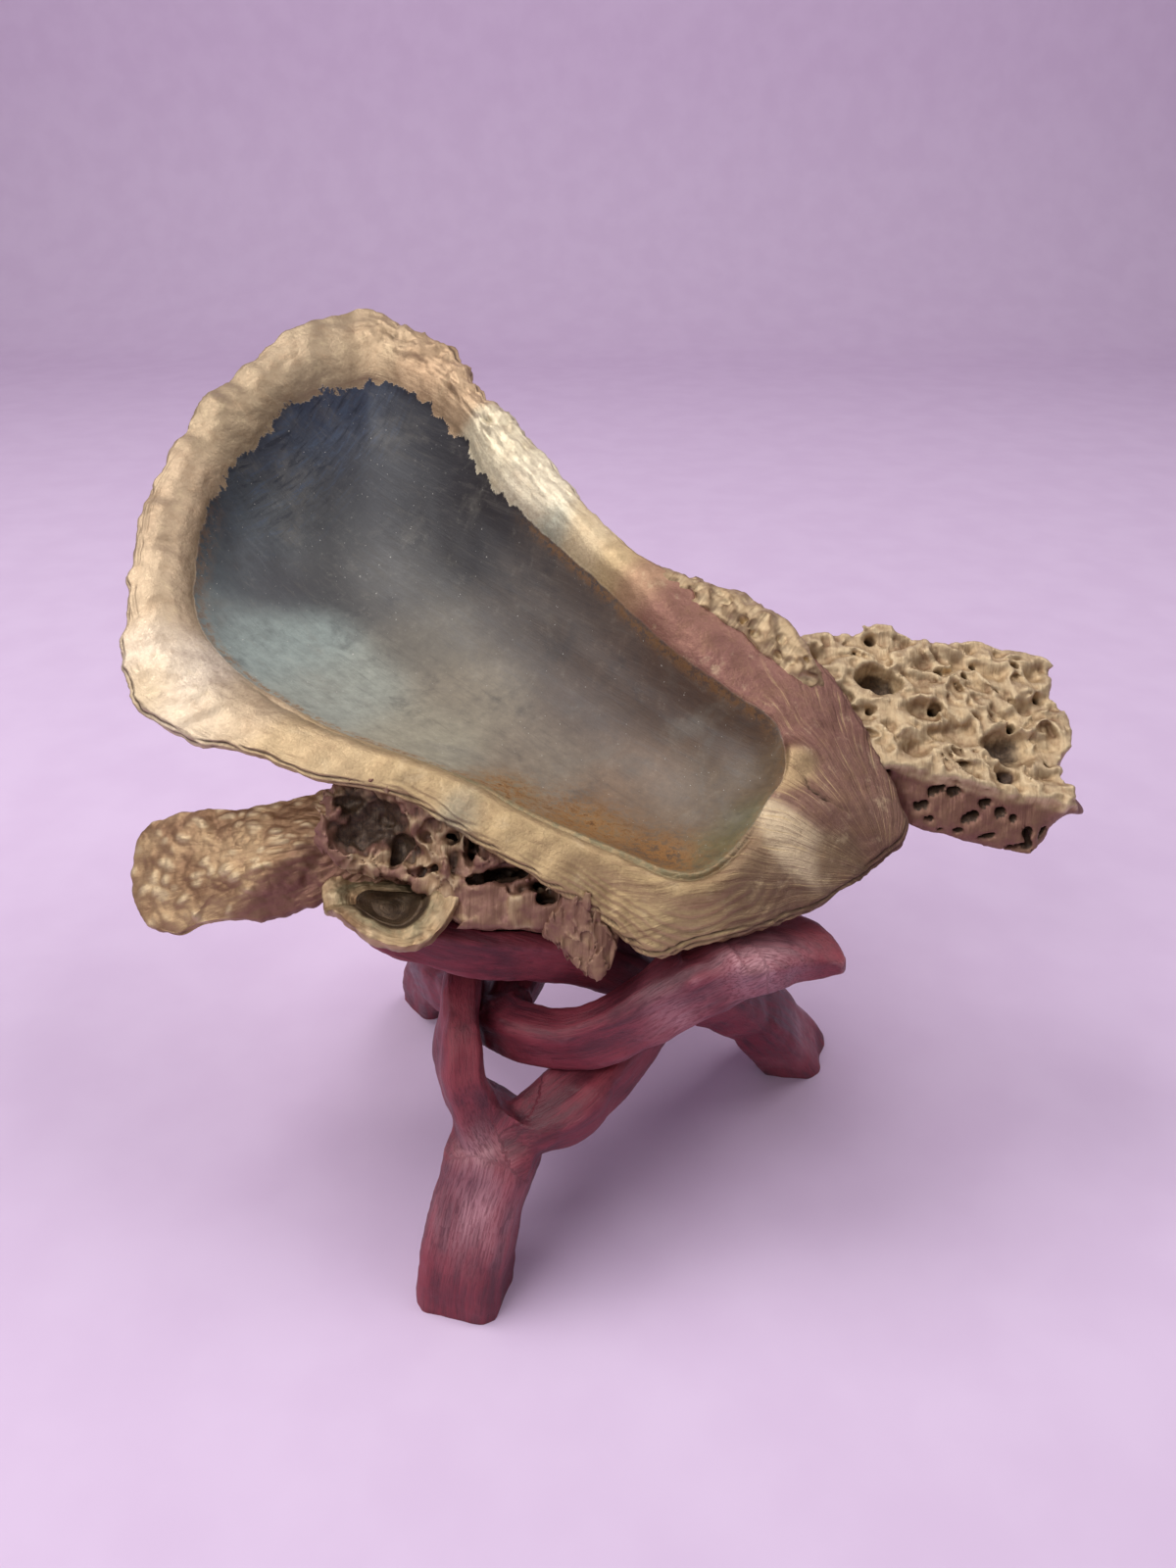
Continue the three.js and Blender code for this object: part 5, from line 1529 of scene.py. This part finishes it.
def small_bowl(material):
    def face(p, s):
        far = far_half(p)
        rise = smooth(s, 0.2, 0.72) * (1 - far)
        return mix(-SMALL_BOWL_DEPTH, 0.0, rise) - 1.2 * (1 - s) * (s > 0.5) - 3.0 * far * s

    def back(p, s):
        return mix(-SMALL_BOWL_DEPTH - SMALL_BOWL_WALL, -2.6, s ** 2.4 * (1 - far_half(p)))

    points, share = plate(SMALL_BOWL_OUTLINE, SMALL_BOWL_AROUND, SMALL_BOWL_RINGS, face, back)
    normals = grid_normals(points)
    top = points[..., 2] > -SMALL_BOWL_DEPTH - 1.5
    inner = smooth(0.7 - share, 0, 0.12) * top
    bumps = noise(points, 2.3, 111) * 0.5 + noise(points, 4.4, 113) * 0.7
    bumps = bumps + fractal(points, 1.5, 2, 114) * 0.18
    rise = bumps * mix(1.0, 0.35, inner)
    green = 0.7 * ridge_along(share, 0.72, 0.12) + 0.4 * inner + 0.3 * smooth(noise(points, 4, 115), 0.1, 0.4)
    points = points + normals * (rise * smooth(share, 0.02, 0.2))[..., None]
    shown = placed(with_middles(points), plane_frame(SMALL_BOWL_ORIGIN, SMALL_BOWL_NORMAL))
    flow = np.stack([share * 13, points[..., 0], points[..., 1]], -1)
    attributes = {
        "flow": with_middles(flow),
        # Painted shade between the bumps and inside the cup, and a painted highlight on the bumps outside it
        "hollow": flat_list(np.clip(-bumps * 0.3 + inner * 0.75, 0, 1)),
        "crest_highlight": flat_list(np.clip(bumps * 0.8 + 0.25, 0, 1) * (1 - inner)),
        "rose": flat_list(np.zeros_like(share)),
        "green": flat_list(np.clip(green, 0, 1)),
    }
    return make_mesh("small_bowl", shown, ring_faces(len(points), SMALL_BOWL_AROUND), material, attributes)


# Stand
def units(vectors):
    return vectors / np.linalg.norm(vectors, axis=1, keepdims=True)


def square_to(vectors, way):
    """Unit vectors nearest to some, square to others."""
    return units(vectors - np.sum(vectors * way, 1, keepdims=True) * way)


def branch_mesh(rows):
    """A carved branch as stacked rings with bevelled corners, and its faces."""
    rows = np.array(rows, float)
    last = len(rows) - 1
    u = np.linspace(0, last, last * BRANCH_RINGS_PER_ROW + 1)
    line = curve_at(rows, u, False)
    before, after = (curve_at(rows[:, :3], np.clip(u + step, 0, last), False) for step in (-1e-3, 1e-3))
    forward = units(after - before)
    side = square_to(line[:, 5:8], forward)
    up = np.cross(side, forward)
    angle = 2 * np.pi * (np.arange(BRANCH_AROUND) + 0.5) / BRANCH_AROUND
    c, s = np.cos(angle), np.sin(angle)
    reach = 1 / np.maximum(np.maximum(np.abs(c), np.abs(s)), (np.abs(c) + np.abs(s)) / BEVEL)
    rings = (line[:, None, :3] + side[:, None] * (0.5 * line[:, 3, None] * c * reach)[..., None]
             + up[:, None] * (0.5 * line[:, 4, None] * s * reach)[..., None])
    return with_middles(rings), ring_faces(len(rings), BRANCH_AROUND)


def along_branches(points, branches):
    """Each point's place along the nearest branch, and its place across that branch's section."""
    middles = []
    frames = []
    for number, rows in enumerate(branches):
        rows = np.array(rows, float)
        line = curve_at(rows, np.linspace(0, len(rows) - 1, 8 * len(rows)), False)
        run = np.gradient(line[:, :3], axis=0)
        length = np.cumsum(np.linalg.norm(run, axis=1)) + 100 * number
        run = units(run)
        side = square_to(line[:, 5:8], run)
        middles.append(np.column_stack([line[:, :3], length]))
        frames.append(np.stack([side, np.cross(side, run)], 1))
    middles = np.vstack(middles)
    frames = np.vstack(frames)
    nearest = np.empty(len(points), int)
    batch = 4000  # points at a time, to spare memory
    for k in range(0, len(points), batch):
        far = np.linalg.norm(points[k:k + batch, None] - middles[None, :, :3], axis=-1)
        nearest[k:k + batch] = far.argmin(1)
    off = points - middles[nearest, :3]
    across = np.einsum("nij,nj->ni", frames[nearest], off)
    return np.column_stack([middles[nearest, 3], across])


def cut_away(obj, cutters):
    """Takes other objects out of one."""
    for cutter in cutters:
        cut = obj.modifiers.new("cut", "BOOLEAN")
        cut.operation = "DIFFERENCE"
        cut.solver = "MANIFOLD"
        cut.object = cutter


def grown_copy(obj):
    """A copy of a piece with its surface moved out by the gap."""
    points, normals, faces = mesh_arrays(obj)
    return make_mesh(obj.name + "_grown", points + normals * GAP, faces, obj.data.materials[0])


def ground_block(material):
    """A wide block with its top at the ground."""
    corners = np.array(list(np.ndindex(2, 2, 2)), float) * (300, 300, 30) - (150, 150, 30)
    faces = [(0, 1, 3, 2), (4, 6, 7, 5), (0, 4, 5, 1), (2, 3, 7, 6), (0, 2, 6, 4), (1, 5, 7, 3)]
    return make_mesh("ground_block", corners, faces, material)


def joined_branches(name, branches, material):
    """Branches made one body: its points and faces."""
    points = []
    faces = []
    for rows in branches:
        p, f = branch_mesh(rows)
        before = sum(len(x) for x in points)
        faces += [tuple(i + before for i in face) for face in f]
        points.append(p)
    rough = make_mesh(name + "_draft", np.vstack(points), faces, material)
    remesh = rough.modifiers.new("one", "REMESH")
    remesh.mode = "VOXEL"
    remesh.voxel_size = LEG_GRAIN * MM
    points, _, faces = mesh_arrays(rough)
    drop(rough)
    return points, faces


def leg(name, branches, material, seed, cutters):
    """A carved leg: its branches made one, cut clear of what it touches and flat at the ground, with knife
    facets, ridges made pale by a painted highlight and by rubbed wear, and painted shade in its hollows."""
    points, faces = joined_branches(name, branches, material)
    quads = np.array([f if len(f) == 4 else (*f, f[-1]) for f in faces])
    points = relaxed(points, quads, 2, 0.5)
    normals = net_normals(points, quads)
    # Broad knife cuts, then a slightly fibrous skin
    hollows = -0.7 * smooth(0.35 - np.abs(noise(points, 21, seed)), 0.0, 0.35)
    skin = fractal(points, 7, 3, seed + 1) * 0.3 + noise(points, 2.0, seed + 2) * 0.06
    points = points + normals * (hollows + skin)[:, None]
    draft = make_mesh(name + "_draft", points, faces, material)
    cut_away(draft, cutters)
    points, normals, faces = mesh_arrays(draft)
    drop(draft)
    points, normals, faces = main_body(points, normals, faces)
    depth = hollowness(points, normals, edges_of(faces), 8)
    worn = sum(np.exp(-np.sum((points - place[:3]) ** 2, axis=1) / place[3] ** 2) for place in np.array(WORN))
    worn = worn * mix(0.5, 1.0, smooth(noise(points * (1, 1, 0.4), 4, seed + 6), -0.5, 0.3))
    patchy = smooth(noise(points, 11, seed + 7), -0.2, 0.35)
    # Pale ridges: a painted highlight on the convex edges, plus rubbed wear at the listed places
    ridge_highlight_and_wear = np.clip(0.7 * smooth(-depth, 0.12, 0.5) * patchy + worn, 0, 1)
    # Painted shade in the hollows
    hollow = smooth(depth, 0.08, 0.4) * 0.7
    return make_mesh(name, points, faces, material, {
        "grain": along_branches(points, branches), "ridge_highlight_and_wear": ridge_highlight_and_wear, "hollow": hollow})


# Build
def stand_for(obj, node, slot):
    """Puts a piece in the place of its CAD node."""
    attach(obj, "root")
    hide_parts(node)


gold = gold_paint("gold_paint")
bored_gold = gold_paint("gold_paint_bored", metal=0.5)
old_gold = gold_paint("old_rose_gold", rose=0.3, metal=0.35)
SHELLS = [
    (big_valve(valve_paint()), "main_shell", "gold_shell"),
    (crust(gold), "main_shell", "gold_shell"),
    (bored_shell(bored_gold), "bored_shell", "bored_gold_shell"),
    (fan_shell(gold), "fan_shell", "gold_shell"),
    (small_bowl(gold), "bowl_shell", "gold_shell"),
    (broken_shell(old_gold), "broken_shell", "rose_gold_shell"),
    (pointed_shell(old_gold), "pointed_shell", "rose_gold_shell"),
]
STAND = [
    ("left_leg", "leg_left", [LEFT_LEG], 121),
    ("right_leg", "leg_right", [RIGHT_FOOT, RIGHT_FRONT_BRANCH, RIGHT_BACK_BRANCH, RIGHT_HEAD], 131),
    ("front_leg", "leg_front", [FRONT_FOOT, FRONT_LEFT_BRANCH, FRONT_RIGHT_BRANCH, FRONT_HEAD], 141),
]
for obj, node, slot in SHELLS:
    stand_for(obj, node, slot)
stained = wood("burgundy_wood")
cutters = [ground_block(stained)] + [grown_copy(obj) for obj, _, _ in SHELLS]
for name, node, branches, seed in STAND:
    made = leg(name, branches, stained, seed, cutters)
    stand_for(made, node, "stained_wood")
    cutters.append(grown_copy(made))
for cutter in cutters:
    drop(cutter)

# Floor, light and camera, in metres
CAMERA_PLACE = (-0.0032, -0.2219, 0.205)
CAMERA_DOWN = 30  # degrees below level
CAMERA_LENS = 27  # millimetres, on a sensor 36 mm wide
BACKDROP_DISTANCE = 0.9
BACKDROP_RADIUS = 0.25
BACKDROP_TOP = 2.2
BACKDROP_STEPS = 12
FLOOR_FRONT = -2.0
FLOOR_HALF_WIDTH = 2.5
LIGHT_AIM = (0, 0, 0.1)
# Name, place, diameter, watts
LIGHTS = [
    ("overhead_left", (-0.5, 0.1, 1.0), 0.6, 5.6),
    ("overhead_right", (0.5, 0.15, 1.0), 0.6, 3.9),
    ("front_left", (-0.6, -0.6, 0.8), 0.7, 4.8),
]
STUDIO_COLOUR = (0.86, 0.82, 0.9, 1)
STUDIO_STRENGTH = 0.3


def floor_and_back():
    """A pale floor that sweeps up into a backdrop far behind."""
    profile = [(FLOOR_FRONT, 0.0), (BACKDROP_DISTANCE, 0.0)]
    for k in range(1, BACKDROP_STEPS + 1):
        angle = math.radians(90 * k / BACKDROP_STEPS)
        y = BACKDROP_DISTANCE + BACKDROP_RADIUS * math.sin(angle)
        profile.append((y, BACKDROP_RADIUS * (1 - math.cos(angle))))
    profile.append((BACKDROP_DISTANCE + BACKDROP_RADIUS, BACKDROP_TOP))
    points = [(x, y, z) for y, z in profile for x in (-FLOOR_HALF_WIDTH, FLOOR_HALF_WIDTH)]
    faces = [(2 * k, 2 * k + 1, 2 * k + 3, 2 * k + 2) for k in range(len(profile) - 1)]
    mesh = bpy.data.meshes.new("floor")
    mesh.from_pydata(points, [], faces)
    mesh.polygons.foreach_set("use_smooth", [True] * len(mesh.polygons))
    obj = bpy.data.objects.new("floor", mesh)
    bpy.context.scene.collection.objects.link(obj)
    material, tree, shader = node_tree("pale_floor")
    w = Wiring(tree)
    speckle = w.noise(w.position(), 40, 3, 0.5)
    w.put(shader.inputs["Base Color"], w.blend(w.ramp(speckle, 0.3, 0.7), FLOOR, FLOOR_PALE))
    shader.inputs["Roughness"].default_value = 0.7
    mesh.materials.append(material)
    obj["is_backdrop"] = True


def area_light(name, place, size, power):
    """A soft round light that points at the object."""
    data = bpy.data.lights.new(name, "AREA")
    data.shape = "DISK"
    data.size = size
    data.energy = power
    obj = bpy.data.objects.new(name, data)
    obj.location = place
    x, y, z = np.array(LIGHT_AIM, float) - np.array(place, float)
    obj.rotation_euler = (math.atan2(math.hypot(x, y), -z), 0, math.atan2(y, x) - math.pi / 2)
    bpy.context.scene.collection.objects.link(obj)


def light_and_camera():
    for light in LIGHTS:
        area_light(*light)
    world = bpy.data.worlds.new("studio")
    world.use_nodes = True
    background = world.node_tree.nodes["Background"]
    background.inputs["Color"].default_value = STUDIO_COLOUR
    background.inputs["Strength"].default_value = STUDIO_STRENGTH
    scene = bpy.context.scene
    scene.world = world
    scene.view_settings.view_transform = "Standard"
    data = bpy.data.cameras.new("camera")
    data.lens = CAMERA_LENS
    data.sensor_width = 36
    data.clip_start = 0.01
    camera = bpy.data.objects.new("camera", data)
    camera.location = CAMERA_PLACE
    camera.rotation_euler = (math.radians(90 - CAMERA_DOWN), 0, 0)
    scene.collection.objects.link(camera)
    scene.camera = camera


floor_and_back()
light_and_camera()

boxes = [[[float(v) for v in corner] for corner in box] for box in (CAD_BOX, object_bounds())]
